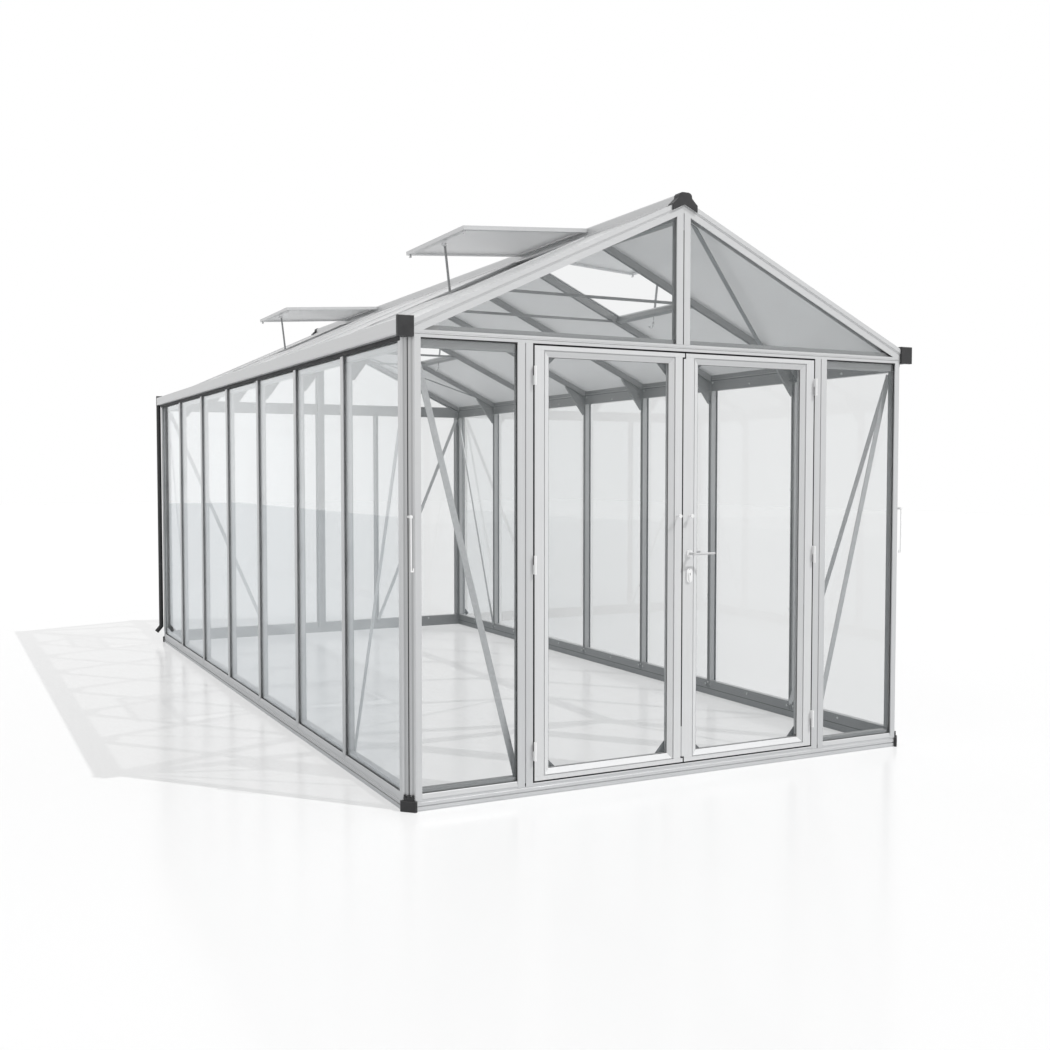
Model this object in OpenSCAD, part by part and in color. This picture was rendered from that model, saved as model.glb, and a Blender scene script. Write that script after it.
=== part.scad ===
// Gable greenhouse in extruded aluminium bars, with clear wall panes, pale twin-wall
// roof sheets, four propped roof vents and a pair of glazed doors that swing outwards.
// X runs along the front, +Y towards the back, +Z up. The origin is on the ground under
// the middle of the whole object. Millimetres.

/* [House] */
// Width over the outer faces of the side walls
house_w = 2700; // [2200:10:3400]
// Number of bays along a side wall
bays = 7; // [5:1:9]
// Width of one bay, bar to bar
bay_w = 793; // [600:1:1000]
// Height of the eaves, at the lower lip of the end wall's tie beam
eaves_h = 1944; // [1700:1:2400]
// Pitch of the roof, in degrees
roof_pitch = 25; // [18:1:32]

/* [Bars and rails] */
// Thickness of the outer cap that holds a pane's edge
cap_t = 6; // [4:0.5:8]
// Depth of the channel that a pane or sheet sits in
channel_t = 10; // [8:1:14]
// Depth of the hollow inner part of a bar
box_t = 34; // [26:1:44]
// Width of a wall bar's outer cap
bar_cap_w = 34; // [28:1:44]
// Width of a wall bar's inner part
bar_box_w = 26; // [20:1:30]
// Width of the outer face of a door jamb or king post
jamb_w = 74; // [64:1:90]
// Length of the chamfer on each side of a corner
corner_chamfer = 45; // [40:1:60]
// Wall thickness of the hollow extrusions
skin_t = 2.5; // [2:0.5:4]
// Height of the sill's outer lip
sill_h = 72; // [65:1:100]
// Height of the sill's inner rail
sill_rail_h = 90; // [85:1:120]
// Height of the band round the foot of the walls that the corner posts stand on
sill_base_h = 45; // [38:1:50]

/* [Glazing] */
// Thickness of a clear wall pane
pane_t = 4; // [3:0.5:6]
// Clearance from a pane's edge to the web beside it
pane_gap = 3; // [2:0.5:6]

/* [Doors] */
// Width of the doorway between the jambs
doorway_w = 1530; // [1200:10:1850]
// Gap round each door leaf
leaf_gap = 7; // [6:0.5:10]
// Gap from a closed leaf's inner face to the stop behind it
stop_gap = 9; // [8:0.5:12]
// Thickness of a door leaf
leaf_t = 36; // [32:1:40]
// Width of the flat face of a leaf's hinge stile
stile_face_w = 45; // [36:1:60]
// Width of the flat face of the left leaf's meeting stile
meet_left_w = 38; // [32:1:60]
// Width of the flat face of the right leaf's meeting stile
meet_right_w = 57; // [52:1:70]
// Width of the flat face of a leaf's top and bottom rails
rail_face_w = 18; // [14:1:40]
// Width of the glazing bead inside that face
bead_w = 24; // [12:1:28]
// Height of the doorway's threshold
threshold_h = 57; // [50:1:64]
// Height of the lever handle's spindle
lever_h = 1025; // [900:5:1100]
// Length of the lever handle, spindle to tip
lever_len = 117; // [95:1:125]
// Height of the round catch knobs
knob_h = 1198; // [1150:1:1300]
// How far the knobs and the lever stand out of the leaf
knob_out = 28; // [20:1:36]

/* [Roof vents] */
// Distance from the middle of the ridge out to a vent's lower edge, measured level
vent_reach = 650; // [500:10:760]
// How far a vent is propped open, in degrees
vent_open = 21; // [12:1:24]

/* [Back wall] */
// Distance of each back post from the middle
back_post_off = 510; // [420:10:560]

/* [Hidden] */
$fn = 48;
eps = 0.01;

// The gutter's end block: how far it reaches in from the corner along the walls,
// and how far it stands out past the end wall
cap_side = 40.3;
cap_out = 11;

// Overall sizes that follow from the ones above
bar_d = cap_t + channel_t + box_t;
post_end = corner_chamfer + 27;
corner_web = corner_chamfer + 10;
corner_box = bar_d + 20;
corner_extra = 20;
// a corner foot's front and back, measured in from the corner along its diagonal
foot_front = 19;
foot_back = 32;
house_l = bays * bay_w + 2 * corner_extra;
half_w = house_w / 2;
half_l = house_l / 2;
slope_tan = tan(roof_pitch);
slope_cos = cos(roof_pitch);
// Height of the roof's outer plane over the wall's outer face, and at the ridge
roof_eaves_z = eaves_h + 51.5;
roof_ridge_z = roof_eaves_z + half_w * slope_tan;
slope_len = half_w / slope_cos;
// Bars stand at these distances from the front wall's outer face
bar_y = [for (i = [1:bays - 1]) corner_extra + i * bay_w];
vent_bays = [1, bays - 2];
stop_y = leaf_t + stop_gap;

// Colours
silver = [0.80, 0.81, 0.82];
inner_grey = [0.55, 0.56, 0.57];
black = [0.16, 0.16, 0.17];
clear = [0.85, 0.92, 0.95, 0.35];
opal = [0.86, 0.88, 0.90, 0.6];
white = [0.93, 0.93, 0.93];

// The hardware on the doors reaches further than anything at the back, so the walls
// sit a little behind the origin and the whole object is centred on it.
front_reach = max(knob_out + 20, cap_out);
back_reach = cap_out;
front_y = -half_l + (front_reach - back_reach) / 2;

// ---------------------------------------------------------------- placing helpers

// Puts a wall's own frame (x along the wall, y inwards, z up) on each wall. The wall's
// outer face is y = 0 and its middle is x = 0.
module on_front() { translate([0, front_y, 0]) children(); }
module on_back() { translate([0, front_y + house_l, 0]) rotate([0, 0, 180]) children(); }
module on_right() { translate([half_w, front_y + half_l, 0]) rotate([0, 0, 90]) children(); }
module on_left() { translate([-half_w, front_y + half_l, 0]) rotate([0, 0, -90]) children(); }

// x of bar i on a side wall's own frame
function side_x(i) = bar_y[i] - half_l;

// Puts children at the four corners; +x and +y run inwards along the two walls
module at_corners() {
    for (sx = [0, 1], sy = [0, 1])
        mirror([sx, 0, 0])
            translate([-half_w, front_y + sy * house_l, 0])
                mirror([0, sy, 0])
                    children();
}

// Roof slopes: x up the slope from the wall's outer face, y along the house from the
// front wall's outer face, z square to the roof with its outer plane at z = 0
module on_left_slope() {
    translate([-half_w, front_y, roof_eaves_z]) rotate([0, -roof_pitch, 0]) children();
}
module on_right_slope() { mirror([1, 0, 0]) on_left_slope() children(); }

// Runs a section upright: its own x along the wall, y inwards
module upright(z0, z1) { translate([0, 0, z0]) linear_extrude(z1 - z0) children(); }

// Runs a section (x inwards, y up) along a wall's own x, from x0 to x1
module along_wall(x0, x1) {
    translate([x0, 0, 0]) rotate([90, 0, 90]) linear_extrude(x1 - x0) children();
}

// ---------------------------------------------------------------- sections

// Rectangle by its corners
module rect(x0, y0, x1, y1) { translate([x0, y0]) square([x1 - x0, y1 - y0]); }

// A glazing bar: outer cap, web and hollow inner box with a bolt slot. y is depth.
module bar_section() {
    web_w = 8;
    slot_w = 8;
    difference() {
        union() {
            polygon([[-bar_cap_w / 2, cap_t], [-bar_cap_w / 2, 2.5], [-bar_cap_w / 2 + 3, 0],
                [bar_cap_w / 2 - 3, 0], [bar_cap_w / 2, 2.5], [bar_cap_w / 2, cap_t]]);
            rect(-web_w / 2, cap_t - eps, web_w / 2, cap_t + channel_t + eps);
            rect(-bar_box_w / 2, cap_t + channel_t, bar_box_w / 2, bar_d);
        }
        rect(-bar_box_w / 2 + skin_t, cap_t + channel_t + skin_t, bar_box_w / 2 - skin_t, bar_d - 12);
        rect(-slot_w / 2, bar_d - skin_t - 1, slot_w / 2, bar_d + 1);
        rect(-slot_w / 2 - 3.5, bar_d - 9.5, slot_w / 2 + 3.5, bar_d - skin_t);
    }
}

// A jamb or king post: wide face with a groove down its middle
module jamb_section() {
    groove_w = 5;
    difference() {
        union() {
            polygon([[-jamb_w / 2, cap_t], [-jamb_w / 2, 1.5], [-jamb_w / 2 + 1.5, 0],
                [jamb_w / 2 - 1.5, 0], [jamb_w / 2, 1.5], [jamb_w / 2, cap_t]]);
            rect(-19, cap_t - eps, 19, cap_t + channel_t + eps);
            rect(-29, cap_t + channel_t, 29, bar_d);
        }
        rect(-groove_w / 2, -1, groove_w / 2, 5);
        rect(-16.5, 8, 16.5, bar_d - 12);
        rect(-29 + skin_t, cap_t + channel_t + skin_t, 29 - skin_t, bar_d - 12);
        rect(-4, bar_d - skin_t - 1, 4, bar_d + 1);
        rect(-7.5, bar_d - 9.5, 7.5, bar_d - skin_t);
    }
}

// Radius of the shallow flutes down a corner post
flute_r = 14;

// A corner post, drawn from the corner where the walls' outer faces would meet
module corner_section() {
    in0 = cap_t + channel_t;
    core = in0 + skin_t;
    wall = bar_d - 4;
    difference() {
        polygon([[corner_chamfer, 0], [post_end, 0], [post_end, cap_t], [corner_web, cap_t],
            [corner_web, in0], [corner_box, in0], [corner_box, bar_d], [bar_d, bar_d],
            [bar_d, corner_box], [in0, corner_box], [in0, corner_web], [cap_t, corner_web],
            [cap_t, post_end], [0, post_end], [0, corner_chamfer]]);
        // groove and two shallow flutes down the chamfered face
        translate([corner_chamfer / 2, corner_chamfer / 2]) rotate(45) {
            rect(-1, -2.5, 3, 2.5);
            for (s = [-1, 1]) translate([2.8 - flute_r, s * 17]) circle(r = flute_r);
        }
        // hollow core
        polygon([[corner_web - 4, 3], [corner_web - 4, core], [corner_box - 3, core],
            [corner_box - 3, wall], [wall, wall], [wall, corner_box - 3], [core, corner_box - 3],
            [core, corner_web - 4], [3, corner_web - 4], [3, corner_chamfer + 4],
            [corner_chamfer + 4, 3]]);
    }
}

// The sill: grooved outer face, channel for the panes and a taller inner rail
module sill_section() {
    in0 = cap_t + channel_t;
    difference() {
        polygon([[2, 0], [bar_d, 0], [bar_d, sill_rail_h - 3], [bar_d - 3, sill_rail_h],
            [in0, sill_rail_h], [in0, sill_h - 12], [cap_t, sill_h - 12], [cap_t, sill_h],
            [5, sill_h], [3.5, sill_h - 3], [0, sill_base_h + 7], [0, sill_base_h + 5],
            [2.5, sill_base_h + 4], [2.5, 38], [0, 36.5], [0, 24.5], [5.5, 23.5], [5.5, 20],
            [0, 19], [0, 6], [2, 4]]);
        rect(skin_t + 5.5, skin_t, bar_d - skin_t, sill_base_h - 5);
        rect(in0 + skin_t, sill_base_h - 2.5, bar_d - skin_t, sill_rail_h - skin_t);
    }
}

// ---------------------------------------------------------------- ground frame

// Cuts the ends of a wall's sill to meet its neighbours at 45 degrees, and clears the
// space where the corner posts stand on it
module sill_ends(half_len) {
    foot_cut = foot_back * sqrt(2) + 0.05;
    linear_extrude(sill_base_h)
        polygon([[-half_len + foot_cut / 2, foot_cut / 2], [-half_len + foot_cut, 0],
            [half_len - foot_cut, 0], [half_len - foot_cut / 2, foot_cut / 2],
            [half_len - bar_d - 1, bar_d + 1], [-half_len + bar_d + 1, bar_d + 1]]);
    translate([-half_len + post_end, -1, 0]) cube([2 * (half_len - post_end), bar_d + 2, 200]);
}

module sill(half_len) {
    intersection() {
        along_wall(-half_len, half_len) sill_section();
        sill_ends(half_len);
    }
}

module sill_front() {
    color(silver)
    on_front()
    difference() {
        sill(half_w);
        // the doorway is cut down to the threshold, and the jambs stand on the base band
        translate([-doorway_w / 2, -1, threshold_h]) cube([doorway_w, bar_d + 2, 100]);
        for (s = [-1, 1])
            translate([s * (doorway_w + jamb_w) / 2 - jamb_w / 2, -1, sill_base_h])
                cube([jamb_w, bar_d + 2, 100]);
    }
}

module post_notches(xs, half_face) {
    for (x = xs)
        translate([x - half_face, -1, sill_base_h]) cube([2 * half_face, bar_d + 2, 100]);
}

module sill_back() {
    color(silver)
    on_back()
    difference() {
        sill(half_w);
        post_notches([-back_post_off, back_post_off], bar_cap_w / 2);
        post_notches([0], jamb_w / 2);
    }
}

module side_sill() {
    difference() {
        sill(half_l);
        post_notches([for (i = [0:bays - 2]) side_x(i)], bar_cap_w / 2);
    }
}
module sill_left() { color(silver) on_left() side_sill(); }
module sill_right() { color(silver) on_right() side_sill(); }

// Black corner foot: a plate square to the corner's diagonal, with a plug over the foot
// of the post's flutes
module base_feet() {
    half = 37;
    plug_half = 22;
    plug_h = 24;
    color(black)
    at_corners()
    rotate([0, 0, 45])
    difference() {
        union() {
            translate([foot_front, -half, 0]) cube([foot_back - foot_front, 2 * half, sill_base_h]);
            translate([foot_front + 6, -plug_half, sill_base_h - 1])
                cube([corner_chamfer / sqrt(2) - foot_front - 6.03, 2 * plug_half, plug_h + 1]);
        }
        for (s = [-1, 1]) {
            translate([foot_front, s * half, -1]) rotate([0, 0, 45]) cube([7, 7, 200], center = true);
            // notches in the plug's top
            translate([0, s * 10 - 4, sill_base_h + plug_h - 9]) cube([60, 8, 20]);
        }
        // chamfer round the foot's upper front edge
        translate([foot_front, -half - 1, sill_base_h]) rotate([0, 45, 0])
            translate([-2, 0, -2]) cube([4, 2 * half + 2, 4]);
    }
}

// ---------------------------------------------------------------- uprights

// How far the beams' hollow inner parts reach below the eaves
beam_drop = 39;

module corner_posts() {
    color(silver) at_corners() upright(sill_base_h, eaves_h) corner_section();
}

module side_bars() {
    for (i = [0:bays - 2])
        translate([side_x(i), 0, 0])
            difference() {
                upright(sill_base_h, eaves_h - 6) bar_section();
                translate([-50, cap_t + channel_t, eaves_h - beam_drop]) cube([100, 100, 100]);
            }
}
module wall_bars_left() { color(silver) on_left() side_bars(); }
module wall_bars_right() { color(silver) on_right() side_bars(); }

module door_jambs() {
    color(silver)
    on_front()
    for (s = [-1, 1])
        translate([s * (doorway_w + jamb_w) / 2, 0, 0])
            union() {
                upright(sill_base_h, eaves_h) jamb_section();
                // stop that the leaf closes against
                upright(threshold_h, eaves_h - 40)
                    scale([-s, 1]) rect(29 - eps, stop_y, 49, bar_d);
            }
}

module back_posts() {
    color(silver)
    on_back()
    for (s = [-1, 1])
        translate([s * back_post_off, 0, 0]) upright(sill_base_h, eaves_h) bar_section();
}

// Height of the roof's outer plane over a point x from the ridge line
function roof_z(x) = roof_ridge_z - abs(x) * slope_tan;
gable_bar_d = 55;
gable_web_d = 40;
// Distance of the roof sheets' edges from the end walls' outer faces
sheet_edge = 36;
gable_under = gable_bar_d / slope_cos + 0.02;

module king_post(z0) {
    difference() {
        upright(z0, roof_ridge_z) jamb_section();
        // top cut to the underside of the gable bars
        rotate([90, 0, 0]) translate([0, 0, -bar_d - 1])
            linear_extrude(bar_d + 2)
                polygon([[0, roof_ridge_z - gable_under], [jamb_w, roof_z(jamb_w) - gable_under],
                    [jamb_w, roof_ridge_z + 10], [-jamb_w, roof_ridge_z + 10],
                    [-jamb_w, roof_z(jamb_w) - gable_under]]);
    }
}

module king_posts() {
    color(silver) {
        on_front()
            difference() {
                king_post(eaves_h + tie_face_top);
                translate([-50, cap_t + channel_t, eaves_h]) cube([100, 100, tie_top]);
            }
        on_back() king_post(sill_base_h);
    }
}

// ---------------------------------------------------------------- ring beam and gutters

tie_top = 52;
tie_face_top = 31;
module tie_section() {
    in0 = cap_t + channel_t;
    difference() {
        polygon([[0, 0], [in0, 0], [in0, -beam_drop], [bar_d, -beam_drop], [bar_d, tie_top],
            [in0, tie_top], [in0, 20], [cap_t, 20], [cap_t, tie_face_top], [1.5, tie_face_top],
            [0, tie_face_top - 1.5], [0, 20.5], [1.5, 19.5], [1.5, 17.5], [0, 16.5]]);
        rect(in0 + skin_t, -beam_drop + skin_t, bar_d - skin_t, tie_top - skin_t);
    }
}

module tie_beam() {
    difference() {
        translate([0, 0, eaves_h]) along_wall(-half_w + cap_side + 1, half_w - cap_side - 1) tie_section();
        for (s = [0, 1])
            mirror([s, 0, 0]) {
                // stands on the corner posts
                translate([half_w - post_end, -1, 0]) cube([post_end, bar_d + 2, eaves_h]);
                // ends cut to the underside of the gable bars
                translate([0, bar_d + 1, 0]) rotate([90, 0, 0]) linear_extrude(bar_d + 2)
                    polygon([[half_w - 400, roof_z(half_w - 400) - gable_under],
                        [half_w + 10, roof_z(half_w + 10) - gable_under], [half_w + 10, eaves_h + 300],
                        [half_w - 400, eaves_h + 300]]);
            }
    }
}

module tie_beam_front() {
    color(silver)
    on_front()
    difference() {
        tie_beam();
        // over the doorway only the stop comes down behind the leaves
        translate([-doorway_w / 2 - jamb_w, -1, eaves_h - 60])
            cube([doorway_w + 2 * jamb_w, stop_y + 1, 60]);
        for (s = [-1, 1])
            translate([s * (doorway_w + jamb_w) / 2 - jamb_w / 2, -1, eaves_h - 60])
                cube([jamb_w, bar_d + 2, 60]);
    }
}

module tie_beam_back() {
    color(silver)
    on_back()
    difference() {
        tie_beam();
        for (x = [-back_post_off, back_post_off])
            translate([x - bar_cap_w / 2, -1, eaves_h - 60]) cube([bar_cap_w, bar_d + 2, 60]);
        translate([-jamb_w / 2, -1, eaves_h - 60]) cube([jamb_w, bar_d + 2, 200]);
    }
}

// Eaves beam and gutter in one extrusion: x inwards from the wall, y up from the eaves
gutter_out = 30;
roof_drop = (cap_t + channel_t) / slope_cos;
eaves_rise = roof_eaves_z - roof_drop - eaves_h - 0.02;
module eaves_section() {
    in0 = cap_t + channel_t;
    difference() {
        polygon([[-gutter_out, 7], [0, 7], [0, -6], [cap_t, -6], [cap_t, 7], [in0, 7],
            [in0, -beam_drop], [bar_d, -beam_drop], [bar_d, eaves_rise - 6], [bar_d - 4, eaves_rise - 5],
            [bar_d - 4, eaves_rise - 1], [bar_d, eaves_rise], [bar_d, eaves_rise + bar_d * slope_tan],
            [0, eaves_rise], [0, 10], [-gutter_out + skin_t, 10], [-gutter_out + skin_t, 64],
            [-gutter_out + 9, 64], [-gutter_out + 9, 68], [-gutter_out, 68],
            [-gutter_out, 12], [-gutter_out + 1, 11], [-gutter_out + 1, 10], [-gutter_out, 9]]);
        polygon([[in0 + skin_t, -beam_drop + skin_t], [bar_d - skin_t, -beam_drop + skin_t],
            [bar_d - skin_t, eaves_rise - 8], [bar_d - 4 - skin_t, eaves_rise - 7],
            [bar_d - 4 - skin_t, eaves_rise + 1], [bar_d - skin_t, eaves_rise + 2],
            [bar_d - skin_t, eaves_rise + bar_d * slope_tan - 5], [in0 + skin_t, eaves_rise]]);
    }
}
module eaves_gutter() {
    translate([0, 0, eaves_h])
        intersection() {
            along_wall(-half_l + 8, half_l - 8) eaves_section();
            union() {
                translate([-half_l, -60, -100]) cube([house_l, 60, 300]);
                translate([-half_l + post_end, -1, -100])
                    cube([house_l - 2 * post_end, bar_d + 2, 300]);
            }
        }
}
module eaves_gutter_left() { color(silver) on_left() eaves_gutter(); }
module eaves_gutter_right() { color(silver) on_right() eaves_gutter(); }

// Black end cap of a gutter, square to the end wall
module gutter_caps() {
    cap_h = 84;
    color(black)
    at_corners()
    translate([0, 0, eaves_h])
    difference() {
        linear_extrude(cap_h)
            polygon([[-gutter_out - 1, -cap_out + 2], [-gutter_out + 1, -cap_out], [cap_side - 2, -cap_out],
                [cap_side, -cap_out + 2], [cap_side, 28], [28, cap_side], [0, cap_side], [0, 7.95],
                [-gutter_out - 1, 7.95]]);
        // seats the corner of the roof sheet
        translate([-20, sheet_edge - 0.5, 10]) cube([80, 60, 200]);
        // weathered top edges
        translate([-100, -cap_out, cap_h]) rotate([45, 0, 0]) cube([300, 4, 4], center = true);
    }
}

// Round pipe from each back gutter end down to a shoe near the ground
module downpipes() {
    pipe_r = 17;
    shoe_z = 130;
    color(black)
    for (s = [0, 1])
        mirror([s, 0, 0])
            translate([-half_w - 16, front_y + house_l - 8, 0]) {
                translate([0, 0, shoe_z]) cylinder(h = eaves_h - shoe_z, r = pipe_r);
                translate([0, 0, shoe_z]) sphere(r = pipe_r);
                translate([0, 0, shoe_z]) rotate([0, -140, 0]) cylinder(h = 60, r = pipe_r);
            }
}

// ---------------------------------------------------------------- roof frame

ridge_half = 62;
crest_half = 30;
keel_half = 22;
// Lengths up the slope to the ridge bar's wing, crest and keel
wing_x = slope_len - ridge_half / slope_cos;

// Runs a bar section (x across, y inwards from the roof's outer plane) up a slope
module up_slope(y, x0, x1) {
    translate([x0, y, 0]) rotate([90, 0, 90]) linear_extrude(x1 - x0) mirror([0, 1]) children();
}

// Everything nearer the wall than x, with plumb sides, in a slope's frame
module plumb_from(x0, x1) {
    rotate([0, roof_pitch, 0])
        translate([x0, -50, -slope_len]) cube([x1 - x0, house_l + 100, 2 * slope_len]);
}

module slope_bars() {
    difference() {
        for (y = bar_y) up_slope(y, -6, slope_len + 20) bar_section();
        // seats over the eaves beam
        intersection() {
            plumb_from(-200, bar_d);
            translate([-200, -50, -100]) cube([500, house_l + 100, 100 - cap_t - channel_t]);
        }
        // cap ends at the ridge bar's wing, the rest at its keel
        intersection() {
            plumb_from(half_w - ridge_half, half_w + 100);
            translate([0, -50, -cap_t]) cube([slope_len + 100, house_l + 100, 100]);
        }
        plumb_from(half_w - keel_half - 0.02, half_w + 200);
    }
}
module rafters_left() { color(silver) on_left_slope() slope_bars(); }
module rafters_right() { color(silver) on_right_slope() slope_bars(); }

// Gable bar: face on the end wall with a hood over the roof sheet's edge. x is depth
// from the end wall's outer face, y is square to the roof.
module gable_section() {
    in0 = cap_t + channel_t;
    difference() {
        polygon([[0, -gable_bar_d], [cap_t, -gable_bar_d], [cap_t, -gable_web_d], [in0, -gable_web_d],
            [in0, -gable_bar_d + 8], [bar_d, -gable_bar_d + 8], [bar_d, -in0],
            [sheet_edge - 2, -in0], [sheet_edge - 2, -cap_t], [bar_d + 4, -cap_t], [bar_d + 4, 0],
            [-4, 2], [-4, -18], [0, -20], [0, -24], [2, -25], [2, -27], [0, -28]]);
        rect(in0 + skin_t, -gable_bar_d + 8 + skin_t, bar_d - skin_t, -in0 - skin_t);
    }
}
module gable_bar() {
    difference() {
        rotate([90, 0, 90]) linear_extrude(slope_len + 40) gable_section();
        // meets its neighbour over the middle with a hairline between
        plumb_from(half_w - 0.15, half_w + 300);
        // plumb end beside the gutter's end block
        plumb_from(-300, cap_side + 0.2);
    }
}
module gable_bars() {
    color(silver) {
        on_left_slope() gable_bar();
        on_right_slope() gable_bar();
        on_left_slope() translate([0, house_l, 0]) mirror([0, 1, 0]) gable_bar();
        on_right_slope() translate([0, house_l, 0]) mirror([0, 1, 0]) gable_bar();
    }
}

// Ridge bar: a raised crest with wings over the sheets, and a hollow keel
// Just clear of the sheets below
cap_drop = (cap_t - 0.03) / slope_cos;
keel_z = -ridge_half * slope_tan - 62;
wing_t = 3;
crest_top = 26;
module ridge_section() {
    difference() {
        union() {
            polygon([[22, crest_top], [crest_half, 19], [crest_half, wing_t - crest_half * slope_tan],
                [ridge_half, wing_t - ridge_half * slope_tan],
                [ridge_half, -ridge_half * slope_tan - cap_drop], [0, -cap_drop],
                [-ridge_half, -ridge_half * slope_tan - cap_drop],
                [-ridge_half, wing_t - ridge_half * slope_tan],
                [-crest_half, wing_t - crest_half * slope_tan], [-crest_half, 19], [-22, crest_top]]);
            rect(-keel_half, keel_z, keel_half, -8);
        }
        rect(-keel_half + 3, keel_z + 3, keel_half - 3, -20);
        polygon([[19, crest_top - 4], [26, 16], [26, -14], [-26, -14], [-26, 16], [-19, crest_top - 4]]);
    }
}
// The crest alone, where it runs out over the gable bars
module crest_over_gable() {
    lift = 2.6;
    intersection() {
        ridge_section();
        polygon([[-crest_half, 40], [-crest_half, lift - crest_half * slope_tan], [0, lift],
            [crest_half, lift - crest_half * slope_tan], [crest_half, 40]]);
    }
}
ridge_in = 30;
hood_end = bar_d + 4.5;
module ridge_bar() {
    color(silver)
    translate([0, front_y, roof_ridge_z])
        rotate([90, 0, 0]) mirror([0, 0, 1]) {
            translate([0, 0, hood_end]) linear_extrude(house_l - 2 * hood_end) ridge_section();
            translate([0, 0, ridge_in]) linear_extrude(house_l - 2 * ridge_in) crest_over_gable();
            // keel reaches the gable bars' inner faces
            translate([0, 0, bar_d])
                linear_extrude(house_l - 2 * bar_d)
                    intersection() {
                        ridge_section();
                        translate([-keel_half, -300]) square([2 * keel_half, 275]);
                    }
        }
}

module ridge_caps() {
    wide = 66;
    lift = 2.6;
    color(black)
    for (s = [0, 1])
        translate([0, front_y + s * house_l, roof_ridge_z])
            mirror([0, s, 0])
                rotate([90, 0, 0]) mirror([0, 0, 1]) {
                    // plate in front of the gable bars
                    translate([0, 0, -11]) linear_extrude(6.5) cap_outline(wide, -22);
                    // hood back to the ridge bar
                    translate([0, 0, -5]) linear_extrude(ridge_in + 5) cap_outline(wide, lift);
                }
}
module cap_outline(wide, low) {
    polygon([[18, crest_top + 5], [28, crest_top + 1], [34, 19], [36, 6], [wide - 10, -14], [wide, -23],
        [wide, low - wide * slope_tan], [0, low], [-wide, low - wide * slope_tan], [-wide, -23],
        [-wide + 10, -14], [-36, 6], [-34, 19], [-28, crest_top + 1], [-18, crest_top + 5]]);
}

// Half width available under the roof bars at height z
function under_half(z) = (roof_ridge_z - bar_d / slope_cos - z) / slope_tan;
collar_z = roof_eaves_z + 302;
module collar_ties() {
    tie_h = 14;
    color(inner_grey)
    for (y = bar_y)
        translate([0, front_y + y + 6, 0]) rotate([90, 0, 0])
            linear_extrude(12)
                polygon([[-under_half(collar_z - tie_h / 2), collar_z - tie_h / 2],
                    [under_half(collar_z - tie_h / 2), collar_z - tie_h / 2],
                    [under_half(collar_z + tie_h / 2), collar_z + tie_h / 2],
                    [-under_half(collar_z + tie_h / 2), collar_z + tie_h / 2]]);
}

// Plate that stiffens the joint of a wall bar, the eaves beam and a rafter
function under_roof(x) = roof_eaves_z + x * slope_tan - bar_d / slope_cos - 0.02;
haunch_reach = 160;
module haunch_plates() {
    reach = haunch_reach;
    low = eaves_h - 118;
    web = 4;
    foot = 18;
    base = 3;
    tip = under_roof(bar_d + reach);
    color(inner_grey)
    for (s = [0, 1], y = bar_y)
        mirror([s, 0, 0])
            translate([-half_w, front_y + y, 0]) rotate([90, 0, 0]) {
                translate([0, 0, -web / 2]) linear_extrude(web)
                    polygon([[bar_d, low], [bar_d + 12, low], [bar_d + reach, tip - 12],
                        [bar_d + reach, tip], [bar_d, under_roof(bar_d)]]);
                translate([0, 0, -foot / 2]) linear_extrude(foot)
                    polygon([[bar_d, low], [bar_d + base, low],
                        [bar_d + base, under_roof(bar_d + base) - base], [bar_d + reach, tip - base],
                        [bar_d + reach, tip], [bar_d, under_roof(bar_d)]]);
                // lip folded along the free edge
                translate([0, 0, -foot / 2]) linear_extrude(foot)
                    polygon([[bar_d + 8, low], [bar_d + 12, low], [bar_d + reach, tip - 12],
                        [bar_d + reach, tip - 8], [bar_d + reach - 3, tip - 8]]);
            }
}

// ---------------------------------------------------------------- braces

// Flat strip between two points of a wall's own face, on its inside
module strip(x0, z0, x1, z1, depth, w = 28, t = 4) {
    len = norm([x1 - x0, z1 - z0]);
    translate([x0, depth, z0]) rotate([0, -atan2(z1 - z0, x1 - x0), 0])
        translate([0, 0, -w / 2]) cube([len, t, w]);
}

module wall_braces() {
    top = eaves_h - 55;
    foot = sill_rail_h - 8;
    post_x = half_l - corner_box + 2;
    bar_x = half_l - corner_extra - bay_w + 6;
    color(inner_grey) {
        on_front() for (s = [-1, 1])
            strip(s * (half_w - corner_box + 2), top, s * (doorway_w / 2 + jamb_w - 18), foot, bar_d);
        on_back() for (s = [-1, 1])
            strip(s * (half_w - corner_box + 2), top, s * (back_post_off + 6), foot, bar_d);
        for (s = [-1, 1]) {
            on_left() strip(s * post_x, top, s * bar_x, foot, bar_d);
            on_right() strip(s * post_x, top, s * bar_x, foot, bar_d);
        }
    }
}

module slope_brace() {
    x0 = (bar_d + haunch_reach) / slope_cos + 14;
    x1 = slope_len - 120;
    y0 = bar_y[0];
    y1 = bar_d;
    len = norm([x1 - x0, y1 - y0]);
    difference() {
        translate([x0, y0, -bar_d - 4]) rotate([0, 0, atan2(y1 - y0, x1 - x0)])
            translate([0, -12, 0]) cube([len + 20, 24, 4]);
        // plumb end against the gable bar
        translate([0, bar_d - 100, -100]) cube([slope_len, 100, 100]);
    }
}
module roof_braces() {
    color(inner_grey) {
        on_left_slope() slope_brace();
        on_right_slope() slope_brace();
        on_left_slope() translate([0, house_l, 0]) mirror([0, 1, 0]) slope_brace();
        on_right_slope() translate([0, house_l, 0]) mirror([0, 1, 0]) slope_brace();
    }
}

// ---------------------------------------------------------------- glazing

web_half = 4;
pane_z0 = sill_h - 12;
pane_y = cap_t + channel_t - pane_t - 0.02;
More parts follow.
